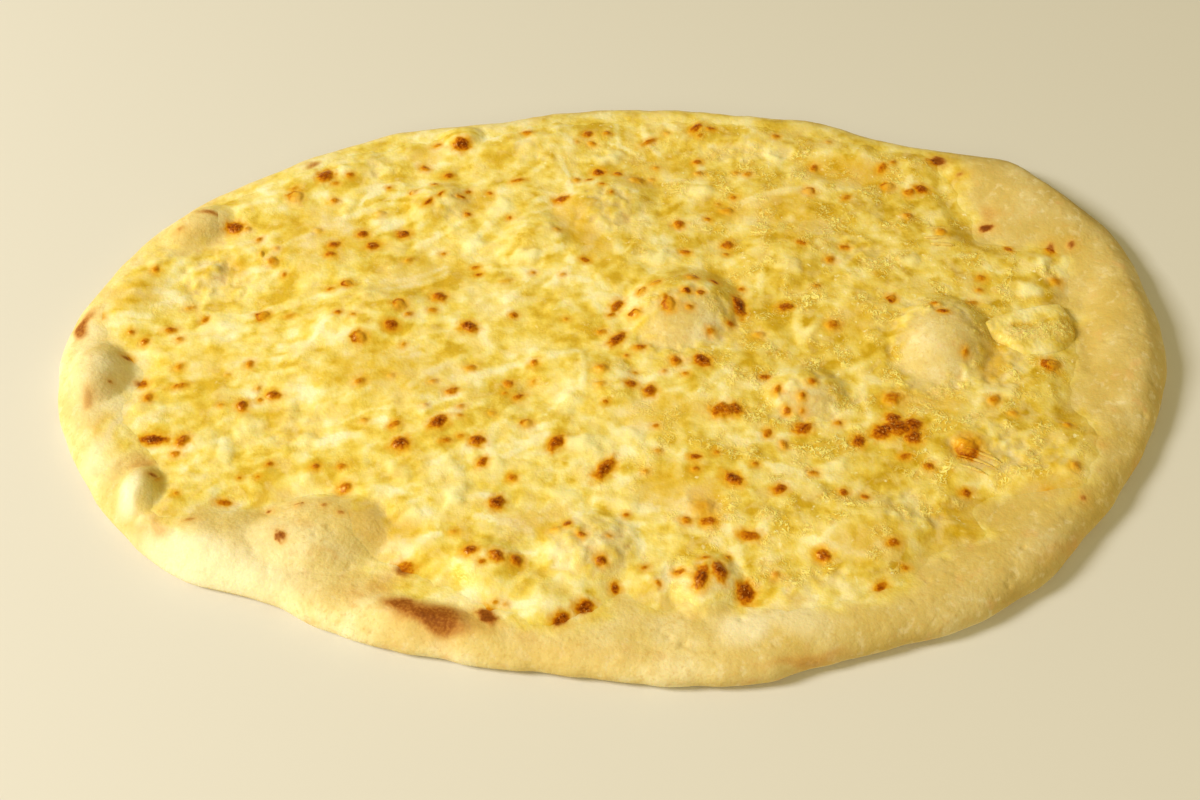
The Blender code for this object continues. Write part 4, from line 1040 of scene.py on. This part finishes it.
def noise(tree, place, size, detail=2.0, distortion=0.0):
    """Noise from 0 to 1, with features about `size` mm across."""
    inputs = {"Vector": place, "Scale": 1.0 / (size * MM), "Detail": detail, "Distortion": distortion}
    return add(tree, "ShaderNodeTexNoise", inputs).outputs["Fac"]


def scaled(tree, value, factor, shift=0.0):
    """The value times a factor, plus a shift."""
    inputs = {"Value": value, "Value_001": factor, "Value_002": shift}
    return add(tree, "ShaderNodeMath", inputs, operation="MULTIPLY_ADD").outputs["Value"]


def mapped(tree, value, start, end, low=0.0, high=1.0):
    """The value from start to end turned into low to high, smooth and without overshoot."""
    inputs = {"Value": value, "From Min": start, "From Max": end, "To Min": low, "To Max": high}
    return add(tree, "ShaderNodeMapRange", inputs, interpolation_type="SMOOTHSTEP").outputs["Result"]


def ramp(tree, value, stops):
    """A colour from a number, by stops of place and hex code."""
    node = add(tree, "ShaderNodeValToRGB", {"Fac": value})
    elements = node.color_ramp.elements
    while len(elements) < len(stops):
        elements.new(1.0)
    for element, (place, code) in zip(elements, stops):
        element.position = place
        element.color = linear(code)
    return node.outputs["Color"]


def layered(tree, below, above, amount):
    """One colour laid over another by an amount. A hex code stands for an even colour."""
    above = linear(above) if isinstance(above, str) else above
    inputs = {"Factor_Float": amount, "A_Color": below, "B_Color": above}
    mix = add(tree, "ShaderNodeMix", inputs, data_type="RGBA")
    return next(socket for socket in mix.outputs if socket.identifier == "Result_Color")


def start_material(name):
    """A Principled material, its node tree, its shader and its Object coordinates."""
    material = bpy.data.materials.new(name)
    material.use_nodes = True
    tree = material.node_tree
    place = add(tree, "ShaderNodeTexCoord").outputs["Object"]
    return material, tree, tree.nodes["Principled BSDF"], place


def read_attributes(tree, names):
    """What the mesh says under each name, as a number."""
    return {name: add(tree, "ShaderNodeAttribute", attribute_name=name).outputs["Fac"] for name in names}


def browned(tree, below, burn, grain, unevenness, stops, fade):
    """The colour below with its browning: a ramp over the burn, broken up by the grain."""
    toasted = scaled(tree, burn, mapped(tree, grain, 0.3, 0.7, *unevenness))
    return layered(tree, below, ramp(tree, toasted, stops), mapped(tree, burn, *fade))


def bumps(tree, layers):
    """Bump nodes one on the other, each given by its strength, its depth in mm and its height."""
    normal = {}
    for strength, depth, height in layers:
        inputs = {"Strength": strength, "Distance": depth * MM, "Height": height, **normal}
        normal = {"Normal": add(tree, "ShaderNodeBump", inputs).outputs["Normal"]}
    return normal["Normal"]


def finish_surface(tree, shader, colour, rough, normal):
    """Feeds the shader its colour, roughness and normal."""
    tree.links.new(colour, shader.inputs["Base Color"])
    tree.links.new(rough, shader.inputs["Roughness"])
    tree.links.new(normal, shader.inputs["Normal"])


def soft_skin(shader, weight, radius, depth, tint):
    """Lets light a little way in, by its depth in mm, and gives the weak gloss a warm tint."""
    shader.inputs["Subsurface Weight"].default_value = weight
    shader.inputs["Subsurface Radius"].default_value = radius
    shader.inputs["Subsurface Scale"].default_value = depth * MM
    shader.inputs["Specular IOR Level"].default_value = 0.35
    shader.inputs["Specular Tint"].default_value = linear(tint)


# %% [markdown]
# ## Baked dough
# White wheat dough baked hot and short: a dry, matt skin that is cream with a little straw, tanned in
# soft flecks, with a breath of flour. Light goes a little way in, which softens its shadows, so it has
# some subsurface. Next to the cheese it has drunk oil and is yellower and less matt.

# %% Dough material
def baked_skin(tree, place, aged, greasy):
    """The dough's own colour, which the cheese's thin edge takes over so that no line shows."""
    clouds = noise(tree, place, 14.0, 4.0)
    flecks = noise(tree, place, 2.6, 3.0)
    pale = ramp(tree, clouds, [(0.32, "#e3ca7e"), (0.5, "#efdc98"), (0.66, "#f8ecba")])
    tanned = ramp(tree, clouds, [(0.32, "#c4aa5e"), (0.5, "#d0b970"), (0.66, "#dbc88a")])
    skin = layered(tree, pale, tanned, aged)
    skin = layered(tree, skin, "#d6b260", mapped(tree, flecks, 0.52, 0.74, 0.0, 0.38))
    skin = layered(tree, skin, "#f8efca", mapped(tree, flecks, 0.46, 0.3, 0.0, 0.3))
    specks = noise(tree, place, 1.1, 3.0)
    skin = layered(tree, skin, "#d0a860", mapped(tree, specks, 0.54, 0.7, 0.0, 0.35))
    blooms = noise(tree, place, 6.0, 2.0)
    skin = layered(tree, skin, "#dfb070", mapped(tree, blooms, 0.58, 0.72, 0.0, 0.4))
    return layered(tree, skin, "#d6b64a", scaled(tree, greasy, 0.34))


def cheese_body(tree, place, aged, tone):
    """The cheese's own colour, which its thin film on the dough shares: clouds, strands and dry patches."""
    clouds = noise(tree, place, 10.5, 3.0)
    mottle = noise(tree, place, 4.2, 2.0)
    mixed = scaled(tree, clouds, 0.62, scaled(tree, mottle, 0.38))
    strands = scaled(tree, tone, 0.17, mixed)
    fresh = ramp(tree, strands, [(0.4, "#dab634"), (0.49, "#ecd35e"), (0.58, "#f5e58e"), (0.7, "#fdf5c4")])
    older = ramp(tree, strands, [(0.4, "#caa41e"), (0.5, "#e2c44c"), (0.59, "#eed873"), (0.71, "#f8eaa6")])
    body = layered(tree, fresh, older, aged)
    dry = noise(tree, place, 5.5, 3.0, 0.5)
    return layered(tree, body, "#f2dd94", mapped(tree, dry, 0.5, 0.68, 0.0, 0.5))


def dough_material():
    """Baked dough under its flour, its film of cheese, its oil and its toasting; the flour and film layers
    also carry some painted light and shade.
    """
    material, tree, shader, place = start_material("baked_wheat_dough")
    reads = read_attributes(tree, ("burn", "oil", "film_and_shade", "flour_and_painted_light", "greasy", "aged"))
    grain = noise(tree, place, 0.9, 3.0)
    flecks = noise(tree, place, 2.6, 3.0)
    skin = baked_skin(tree, place, reads["aged"], reads["greasy"])
    # The flour layer also holds painted light: it lifts the shade on two bubbles and brightens the lit side
    # of a small one.
    skin = layered(tree, skin, "#fdf8d8", scaled(tree, reads["flour_and_painted_light"], 0.7))
    # The cheese film, which on the left bubble is also painted shade in the cheese's yellow.
    skin = layered(tree, skin, cheese_body(tree, place, reads["aged"], 0.4), reads["film_and_shade"])
    skin = layered(tree, skin, "#e0a624", scaled(tree, reads["oil"], 0.75))
    stops = [(0.1, "#e4bc66"), (0.35, "#d6a24c"), (0.6, "#b8782c"), (0.8, "#94500f"), (1.0, "#7c3e06")]
    colour = browned(tree, skin, reads["burn"], grain, (0.86, 1.12), stops, (0.0, 0.75))
    rough = mapped(tree, reads["film_and_shade"], 0.0, 1.0, 0.68, 0.42)
    finish_surface(tree, shader, colour, rough, bumps(tree, [(0.5, 0.3, grain), (0.5, 0.5, flecks)]))
    soft_skin(shader, 0.2, (1.0, 0.7, 0.3), 1.5, "#ffeeb8")
    return material


bread.data.materials.append(dough_material())

# %% [markdown]
# ## Melted cheese
# A mild yellow cheese, melted and set: a fatty, slightly see-through body under a film of its own oil.
# It is butter yellow, nearly white where it is thick, cream where the dough shows through and amber
# where oil gathers; that amber is also painted shade on the shaded flanks of bubbles. Where its skin
# dried in crinkles, fine pale dots and lines are painted in as glints, with painted shade in the hollows
# between them, over a real fine bump. A blister goes from amber through orange to brown, so its colour
# is a ramp over the burn, with tiny painted glints in its dark core.

# %% Cheese material
def crinkle_and_glint_lines(tree, place):
    """Short curled lines, 1 on their crests: contours of two noises, broken up by a third. They shape the
    crinkle bump and are painted as glints.
    """
    crests = []
    for size, distortion in ((2.8, 1.5), (1.8, 1.0)):
        away = scaled(tree, noise(tree, place, size, 1.0, distortion), 1.0, -0.5)
        away = add(tree, "ShaderNodeMath", {"Value": away}, operation="ABSOLUTE").outputs["Value"]
        crests.append(mapped(tree, away, 0.06, 0.015))
    inputs = {"Value": crests[0], "Value_001": crests[1]}
    both = add(tree, "ShaderNodeMath", inputs, operation="MAXIMUM").outputs["Value"]
    return scaled(tree, both, mapped(tree, noise(tree, place, 2.0, 1.0), 0.38, 0.5))


def cheese_material(name):
    """Melted cheese with its bare tops, lumps, pools, crinkles, oil and browned blisters, and its painted
    glints and shade.
    """
    material, tree, shader, place = start_material(name)
    labels = ("burn", "oil", "bare", "greasy", "pool_and_shade", "pale", "crinkle", "aged", "tone")
    reads = read_attributes(tree, labels)
    grain = noise(tree, place, 0.9, 2.0)
    body = cheese_body(tree, place, reads["aged"], reads["tone"])
    body = layered(tree, body, baked_skin(tree, place, reads["aged"], reads["greasy"]), reads["bare"])
    body = layered(tree, body, "#fdf6b8", scaled(tree, reads["pale"], 0.85))
    # Amber of the oily pools, which is also painted shade on the shaded flanks of bubbles.
    body = layered(tree, body, "#d9aa24", scaled(tree, reads["pool_and_shade"], 0.7))
    # Painted shade: darker amber in the hollows between the crinkles.
    painted_hollow_shade = mapped(tree, noise(tree, place, 1.7, 2.0), 0.5, 0.38)
    body = layered(tree, body, "#dcac24", scaled(tree, reads["crinkle"], 0.35))
    body = layered(tree, body, "#d09c18", scaled(tree, scaled(tree, painted_hollow_shade, reads["crinkle"]), 0.42))
    # Painted highlight: scattered pale specks that stand for glints.
    painted_white_glints = mapped(tree, noise(tree, place, 2.4, 3.0), 0.64, 0.76, 0.0, 0.85)
    painted_white_glints = scaled(tree, painted_white_glints, mapped(tree, reads["aged"], 0.0, 0.8, 0.3, 1.0))
    painted_white_glints = scaled(tree, painted_white_glints, mapped(tree, reads["bare"], 0.0, 0.5, 1.0, 0.2))
    body = layered(tree, body, "#fff6c0", painted_white_glints)
    # Painted glints: pale lines on the crinkle crests, which also raise the bump below.
    line = scaled(tree, crinkle_and_glint_lines(tree, place), reads["crinkle"])
    body = layered(tree, body, "#fff08c", scaled(tree, line, 0.95))
    body = layered(tree, body, "#e0a624", mapped(tree, reads["oil"], 0.1, 1.0, 0.0, 0.85))
    stops = [(0.1, "#e2ac24"), (0.3, "#d49414"), (0.5, "#be7006"), (0.74, "#a05002"), (1.0, "#722e00")]
    colour = browned(tree, body, reads["burn"], grain, (0.7, 1.2), stops, (0.03, 0.42))
    # Painted highlight: tiny tan glints in the dark cores of the blisters.
    painted_core_glint = scaled(tree, mapped(tree, noise(tree, place, 0.7, 1.0), 0.58, 0.68), reads["burn"])
    colour = layered(tree, colour, "#d09a4c", mapped(tree, painted_core_glint, 0.35, 0.9, 0.0, 0.6))
    rough = mapped(tree, reads["bare"], 0.0, 1.0, 0.3, 0.5)
    rough = scaled(tree, reads["crinkle"], -0.1, rough)
    finish_surface(tree, shader, colour, rough, bumps(tree, [(0.7, 0.3, line), (0.48, 0.3, grain)]))
    soft_skin(shader, 0.25, (1.0, 0.75, 0.25), 1.0, "#ffe48a")
    return material


cheese.data.materials.append(cheese_material("melted_cheese_oily"))

# %% [markdown]
# ## The heap of grated strands
# Near the right end a handful of strands landed in a heap. They lie side by side and grew together
# while they melted, so what is left is one soft wedge with the bands of the strands on it and a short
# crease between the two thickest. It is a height again: at each point the bands are added as powers,
# which joins them as smoothly as melting does, on a bed that is thin on the near side, and the edge of
# the wedge is rounded.

# %% Form of the heap
# Corners of the outline, anticlockwise, then the bands: start, end, half width and height.
HEAP_CORNERS = np.array([
    (107.9, 7.4), (109.6, 2.8), (113.3, 0.0), (117.0, -3.6), (122.6, -4.6), (128.8, -2.8), (133.1, 0.2),
    (135.4, 3.6), (136.3, 7.2), (135.8, 12.0), (134.6, 15.2), (134.0, 17.2), (132.6, 17.6), (126.5, 16.3),
    (119.6, 14.5), (113.6, 12.1), (110.7, 10.9),
])
HEAP_BANDS = [
    ((111.8, 8.2), (131.8, 13.8), 4.2, 0.8), ((117.2, 3.2), (129.6, 5.6), 3.8, 0.8),
    ((112.6, 6.6), (117.0, 2.6), 3.6, 0.75), ((115.6, -0.8), (127.6, -1.2), 3.8, 0.4),
    ((130.6, 11.6), (131.4, 5.8), 3.6, 0.7),
]
# The crease between the two thickest bands: start, end, half width and depth.
HEAP_CREASE = ((117.4, 6.1), (122.8, 7.3), 0.8, 0.4)
# The bed under the bands is thin on the near side and thick on the far side, square to this turn.
HEAP_BED = (0.3, 1.5)
HEAP_TURN = 16.0
HEAP_ROUNDING = 2.4
HEAP_SPACING = 0.32
HEAP_BASE_SPACING = 3.0
HEAP_SUNK = 0.9
# Half the side of the square round the heap in which its nets are made.
HEAP_SQUARE = 20.0
HEAP_UNEVENNESS = [(0.18, 4.0, 61), (0.11, 1.8, 62), (0.06, 0.9, 63)]
# The lines along which glints are painted on its crinkles, and along which oil gathered and its crease is
# painted darker as shade.
HEAP_GLINT = ((117.0, 3.4), (133.0, 6.5))
HEAP_POOL_AND_SHADE = ((116.8, 6.2), (121.6, 6.4))
# The higher, the more sharply each band keeps to itself.
JOINING = 3.0
CORNER_CUTS = 4


def sheet_top(points):
    """Height of the cheese's upper surface, without its fine relief."""
    return dough_top(points) + SHEET_THICKNESS * ease(cheese_inset(points), 0.0, SHEET_FEATHER)


def distance_to_line(points, start, end):
    """Each point's distance to a straight line between two places."""
    way = np.array(end) - np.array(start)
    share = np.clip((points - np.array(start)) @ way / (way @ way), 0.0, 1.0)
    return np.linalg.norm(points - np.array(start) - share[:, None] * way, axis=1)


def heap_level(points):
    """Height of the joined bands over the bed."""
    total = np.zeros(len(points))
    for start, end, half_width, rise in HEAP_BANDS:
        away = distance_to_line(points, start, end) / half_width
        total += (rise * np.sqrt(np.clip(1.0 - away**2, 0.0, 1.0))) ** JOINING
    start, end, half_width, depth = HEAP_CREASE
    crease = np.exp(-((distance_to_line(points, start, end) / half_width) ** 2))
    return total ** (1.0 / JOINING) - depth * crease


# %% Mesh of the heap
heap_edge = HEAP_CORNERS
for _ in range(CORNER_CUTS):
    following = np.roll(heap_edge, -1, axis=0)
    cuts = [0.75 * heap_edge + 0.25 * following, 0.25 * heap_edge + 0.75 * following]
    heap_edge = np.stack(cuts, axis=1).reshape(-1, 2)
heap_middle = heap_edge.mean(axis=0)
HEAP_TREE = search_tree(heap_edge)


def inside_heap(points, margin):
    """Which points lie inside the heap's outline by at least the margin."""
    edge_angle, edge_radius = polar(heap_edge - heap_middle)
    order = np.argsort(edge_angle)
    angle, radius = polar(points - heap_middle)
    limit = np.interp(angle, edge_angle[order], edge_radius[order], period=360.0)
    return (radius < limit) & (distance_to(HEAP_TREE, points) > margin)


def heap_net(spacing, margin):
    """The outline of the heap and the lattice points inside it."""
    nearby, _, _ = lattice(spacing)
    nearby = nearby[near(nearby, *heap_middle, HEAP_SQUARE)]
    return np.concatenate([heap_edge, nearby[inside_heap(nearby, margin)]])


net = heap_net(HEAP_SPACING, 0.6 * HEAP_SPACING)
bottom = heap_net(HEAP_BASE_SPACING, 0.5 * HEAP_BASE_SPACING)
from_edge = np.minimum(distance_to(HEAP_TREE, net), HEAP_ROUNDING)
rounded = np.sqrt(1.0 - (1.0 - from_edge / HEAP_ROUNDING) ** 2)
level = heap_level(net)
relief = rippled(net, HEAP_UNEVENNESS)
tilt = np.radians(HEAP_TURN)
offset = net - heap_middle
uphill = offset[:, 1] * np.cos(tilt) - offset[:, 0] * np.sin(tilt)
bed = HEAP_BED[0] + (HEAP_BED[1] - HEAP_BED[0]) * ease(uphill, -10.0, -1.0)
# The bed runs out thinner towards both ends.
bed = bed * (0.35 + 0.65 * ease(net[:, 0], 107.0, 119.0)) * (1.0 - 0.4 * ease(net[:, 0], 130.0, 137.0))
height = sheet_top(net) - HEAP_SUNK + rounded * (HEAP_SUNK + bed + level + relief)
burn, oil, _ = browning(net)
attributes = {
    "burn": burn,
    "oil": 0.6 * oil,
    # Oil along the crease, with painted shade in it.
    "pool_and_shade": 1.0 - ease(distance_to_line(net, *HEAP_POOL_AND_SHADE), 0.4, 2.2),
    # Painted highlight: the high bands are made paler.
    "pale": 0.2 * ease(level, 0.5, 1.0),
    "crinkle": 1.0 - ease(distance_to_line(net, *HEAP_GLINT), 1.0, 4.5),
    "aged": np.full(len(net), 0.75),
    "tone": 0.8 * level,
}
depths = sheet_top(bottom) - 2.0 * HEAP_SUNK
heap = make_layer("grated_strand_heap", len(heap_edge), net, height, bottom, depths, attributes)
grated_finish = cheese_material("grated_cheese_softened")
heap.data.materials.append(grated_finish)

# %% [markdown]
# ## Loose strands
# A few thin strands lie alone, half sunk: in front of the ring blister and far behind the right-hand
# bubble.
# A strand follows a path, which is what Geometry Nodes are good at: the paths are curves laid on the
# cheese, and one tree gives each its flat section, thin ends and uneven skin. A remesh closes them.

# %% Paths of the strands
# Start, end, sideways bend, height above the cheese and half width.
LOOSE_RIBBONS = [
    ((94.6, -38.8), (105.6, -44.2), 0.6, 0.1, 0.8), ((93.2, -41.0), (104.0, -46.2), 0.6, 0.1, 0.7),
    ((92.6, -43.8), (101.4, -48.0), 0.4, 0.1, 0.7), ((96.4, 48.6), (103.6, 49.2), 0.3, 0.1, 0.8),
    ((95.4, 44.6), (104.0, 45.2), -0.3, 0.2, 0.9), ((97.2, 41.6), (105.0, 41.0), 0.3, 0.2, 1.0),
]
RIBBON_POINTS = 14


def lay_paths(name, ribbons):
    """A curve object with one path for each ribbon, laid on the cheese."""
    curve = bpy.data.curves.new(name, "CURVE")
    curve.dimensions = "3D"
    for start, end, bend, rise, half_width in ribbons:
        share = np.linspace(0.0, 1.0, RIBBON_POINTS)[:, None]
        way = np.array(end) - np.array(start)
        side = np.array([-way[1], way[0]]) / np.linalg.norm(way)
        arch = 4.0 * share * (1.0 - share)
        plan = np.array(start) + share * way + bend * arch * side
        droop = rise * (0.2 + 0.8 * ease(arch[:, 0], 0.0, 0.45))
        path = lifted(plan, sheet_top(plan) + droop)
        spline = curve.splines.new("POLY")
        spline.points.add(RIBBON_POINTS - 1)
        for point, corner in zip(spline.points, path):
            point.co = (*corner, 1.0)
            point.radius = half_width * MM
    return placed(name, curve)


# %% Geometry Nodes tree for a ribbon of cheese
RIBBON_SIZES = {
    "Flatness": 0.5, "Point Spacing": 0.35 * MM, "Unevenness": 0.5 * MM, "Bump Size": 2.4 * MM,
}
# Width along the strand: share of the way and share of the half width.
END_FORM = [(0.0, 0.1), (0.06, 0.72), (0.5, 1.0), (0.94, 0.72), (1.0, 0.1)]


def ribbon_tree():
    """A Geometry Nodes group that turns paths into flat, uneven, round-ended ribbons."""
    tree = bpy.data.node_groups.new("cheese_ribbon", "GeometryNodeTree")
    tree.interface.new_socket("Geometry", in_out="INPUT", socket_type="NodeSocketGeometry")
    tree.interface.new_socket("Geometry", in_out="OUTPUT", socket_type="NodeSocketGeometry")
    tree.interface.new_socket("Material", in_out="INPUT", socket_type="NodeSocketMaterial")
    for label, value in RIBBON_SIZES.items():
        size = tree.interface.new_socket(label, in_out="INPUT", socket_type="NodeSocketFloat")
        size.default_value = value
    given = add(tree, "NodeGroupInput").outputs
    inputs = {"Curve": given["Geometry"], "Length": given["Point Spacing"]}
    path = add(tree, "GeometryNodeResampleCurve", inputs, mode="LENGTH").outputs["Curve"]
    share = add(tree, "GeometryNodeSplineParameter").outputs["Factor"]
    form = add(tree, "ShaderNodeFloatCurve", {"Value": share})
    line = form.mapping.curves[0].points
    for place, height in END_FORM[1:-1]:
        line.new(place, height)
    line[0].location = END_FORM[0]
    line[-1].location = END_FORM[-1]
    form.mapping.update()
    width = add(tree, "GeometryNodeInputRadius").outputs["Radius"]
    section_scale = scaled(tree, width, form.outputs["Value"])
    inputs = {"Resolution": 16, "Radius": 1.0}
    circle = add(tree, "GeometryNodeCurvePrimitiveCircle", inputs).outputs["Curve"]
    inputs = {"X": 1.0, "Y": given["Flatness"], "Z": 1.0}
    squash = add(tree, "ShaderNodeCombineXYZ", inputs).outputs["Vector"]
    oval = add(tree, "GeometryNodeTransform", {"Geometry": circle, "Scale": squash}).outputs["Geometry"]
    upright = add(tree, "GeometryNodeSetCurveNormal", {"Curve": path}, mode="Z_UP").outputs["Curve"]
    inputs = {"Curve": upright, "Profile Curve": oval, "Scale": section_scale, "Fill Caps": True}
    ribbon = add(tree, "GeometryNodeCurveToMesh", inputs).outputs["Mesh"]
    where = add(tree, "GeometryNodeInputPosition").outputs["Position"]
    inputs = {"Value": 1.0, "Value_001": given["Bump Size"]}
    fineness = add(tree, "ShaderNodeMath", inputs, operation="DIVIDE").outputs["Value"]
    inputs = {"Vector": where, "Scale": fineness, "Detail": 2.0}
    lumpy = add(tree, "ShaderNodeTexNoise", inputs).outputs["Fac"]
    push = scaled(tree, scaled(tree, lumpy, 1.0, -0.5), given["Unevenness"])
    outwards = add(tree, "GeometryNodeInputNormal").outputs["Normal"]
    inputs = {"Vector": outwards, "Scale": push}
    offset = add(tree, "ShaderNodeVectorMath", inputs, operation="SCALE").outputs["Vector"]
    inputs = {"Geometry": ribbon, "Offset": offset}
    uneven = add(tree, "GeometryNodeSetPosition", inputs).outputs["Geometry"]
    real = add(tree, "GeometryNodeRealizeInstances", {"Geometry": uneven}).outputs["Geometry"]
    inputs = {"Geometry": real, "Material": given["Material"]}
    done = add(tree, "GeometryNodeSetMaterial", inputs).outputs["Geometry"]
    tree.links.new(done, add(tree, "NodeGroupOutput").inputs["Geometry"])
    return tree


# %% Grow, fuse and colour the strands
VOXEL = 0.3 * MM
SOFTENING = 24


def evaluated_mesh(thing):
    """A mesh of the object as its modifiers leave it."""
    graph = bpy.context.evaluated_depsgraph_get()
    return bpy.data.meshes.new_from_object(thing.evaluated_get(graph), depsgraph=graph)


def grow_strands(name, ribbons, material, pale):
    """The strands along the paths as one softened skin, with the attributes that colour cheese."""
    paths = lay_paths(name + "_paths", ribbons)
    grow = paths.modifiers.new("grow", "NODES")
    grow.node_group = RIBBON_TREE
    material_input = next(item for item in RIBBON_TREE.interface.items_tree if item.name == "Material")
    grow[material_input.identifier] = material
    piece = placed(name, evaluated_mesh(paths))
    paths.modifiers.remove(grow)
    bpy.data.objects.remove(paths)
    fuse = piece.modifiers.new("fuse", "REMESH")
    fuse.mode = "VOXEL"
    fuse.voxel_size = VOXEL
    soften = piece.modifiers.new("soften", "SMOOTH")
    soften.iterations = SOFTENING
    mesh = evaluated_mesh(piece)
    piece.modifiers.clear()
    piece.data = mesh
    mesh.materials.clear()
    mesh.materials.append(material)
    mesh.shade_smooth()
    places = np.empty(3 * len(mesh.vertices), np.float32)
    mesh.vertices.foreach_get("co", places)
    plan = places.reshape(-1, 3)[:, :2] / MM + MIDDLE
    burn, oil, _ = browning(plan)
    over_sheet = places.reshape(-1, 3)[:, 2] / MM - sheet_top(plan)
    values = {
        "burn": burn,
        "oil": 0.6 * oil,
        "aged": np.full(len(plan), 0.35),
        "pale": np.full(len(plan), pale),
        # Oil and painted shade on the low parts of a strand, where it meets the sheet.
        "pool_and_shade": 0.8 * (1.0 - ease(over_sheet, 0.4, 1.6)),
        # Crinkles, which the material paints with glints.
        "crinkle": 0.9 * ease(ripple(plan, 5.0, 61), -0.1, 0.3),
    }
    for label, numbers in values.items():
        mesh.attributes.new(label, "FLOAT", "POINT").data.foreach_set("value", numbers.astype(np.float32))
    print(name, len(mesh.polygons), "faces")
    return piece


RIBBON_TREE = ribbon_tree()
loose = grow_strands("loose_strands", LOOSE_RIBBONS, grated_finish, 0.6)

# %% [markdown]
# ## Floor, light and view
# A plain pale floor and soft studio light. The main light stands on the left, a little in front, at
# about 37 degrees, so that every bubble has a lit side and a shaded side and the left end is brighter
# than the right. A weak light in front and a weaker one low on the right keep the shaded sides clear,
# and a warm, even sky fills the rest.

# %% Floor and lights
FLOOR_HALF = 1.6
floor_mesh = bpy.data.meshes.new("floor")
corners = [(-FLOOR_HALF, -FLOOR_HALF, 0), (FLOOR_HALF, -FLOOR_HALF, 0), (FLOOR_HALF, FLOOR_HALF, 0)]
floor_mesh.from_pydata([*corners, (-FLOOR_HALF, FLOOR_HALF, 0)], [], [(0, 1, 2, 3)])
floor = placed("floor", floor_mesh)
floor_finish, _, floor_shader, _ = start_material("pale_floor")
floor_shader.inputs["Base Color"].default_value = linear("#dcdad5")
floor_shader.inputs["Roughness"].default_value = 0.7
floor_mesh.materials.append(floor_finish)


def soft_light(name, place, size, power, colour):
    """A square light that faces the middle of the bread, by its place and size in metres."""
    light = bpy.data.lights.new(name, "AREA")
    light.shape = "SQUARE"
    light.size = size
    light.energy = power
    light.color = linear(colour)[:3]
    lamp = placed(name, light)
    lamp.location = place
    lamp.rotation_euler = (-Vector(place)).to_track_quat("-Z", "Y").to_euler()


soft_light("key", (-1.44, -0.20, 1.09), 0.50, 33.5, "#fffaf0")
soft_light("front", (0.05, -0.95, 0.75), 0.60, 2.4, "#fff2d2")
soft_light("right", (1.25, -0.35, 0.22), 0.60, 1.3, "#ffeebc")
world = bpy.data.worlds.new("studio")
world.use_nodes = True
world.node_tree.nodes["Background"].inputs["Color"].default_value = linear("#ffea9c")
world.node_tree.nodes["Background"].inputs["Strength"].default_value = 0.36
bpy.context.scene.world = world
bpy.context.scene.view_settings.view_transform = "Standard"

# %% [markdown]
# ## Hand the pieces over
# Each piece rides on the bread's one body, and the imported solid that it stands for is hidden.

# %% Ride and replace
PARTS = [
    (bread, "flatbread", "baked_dough"),
    (cheese, "melted_cheese", "melted_cheese"),
    (heap, "cheese_shred_clump", "grated_cheese"),
    (loose, None, "grated_cheese"),
]
for piece, node, slot in PARTS:
    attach(piece, "root")
    if node:
        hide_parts(node)
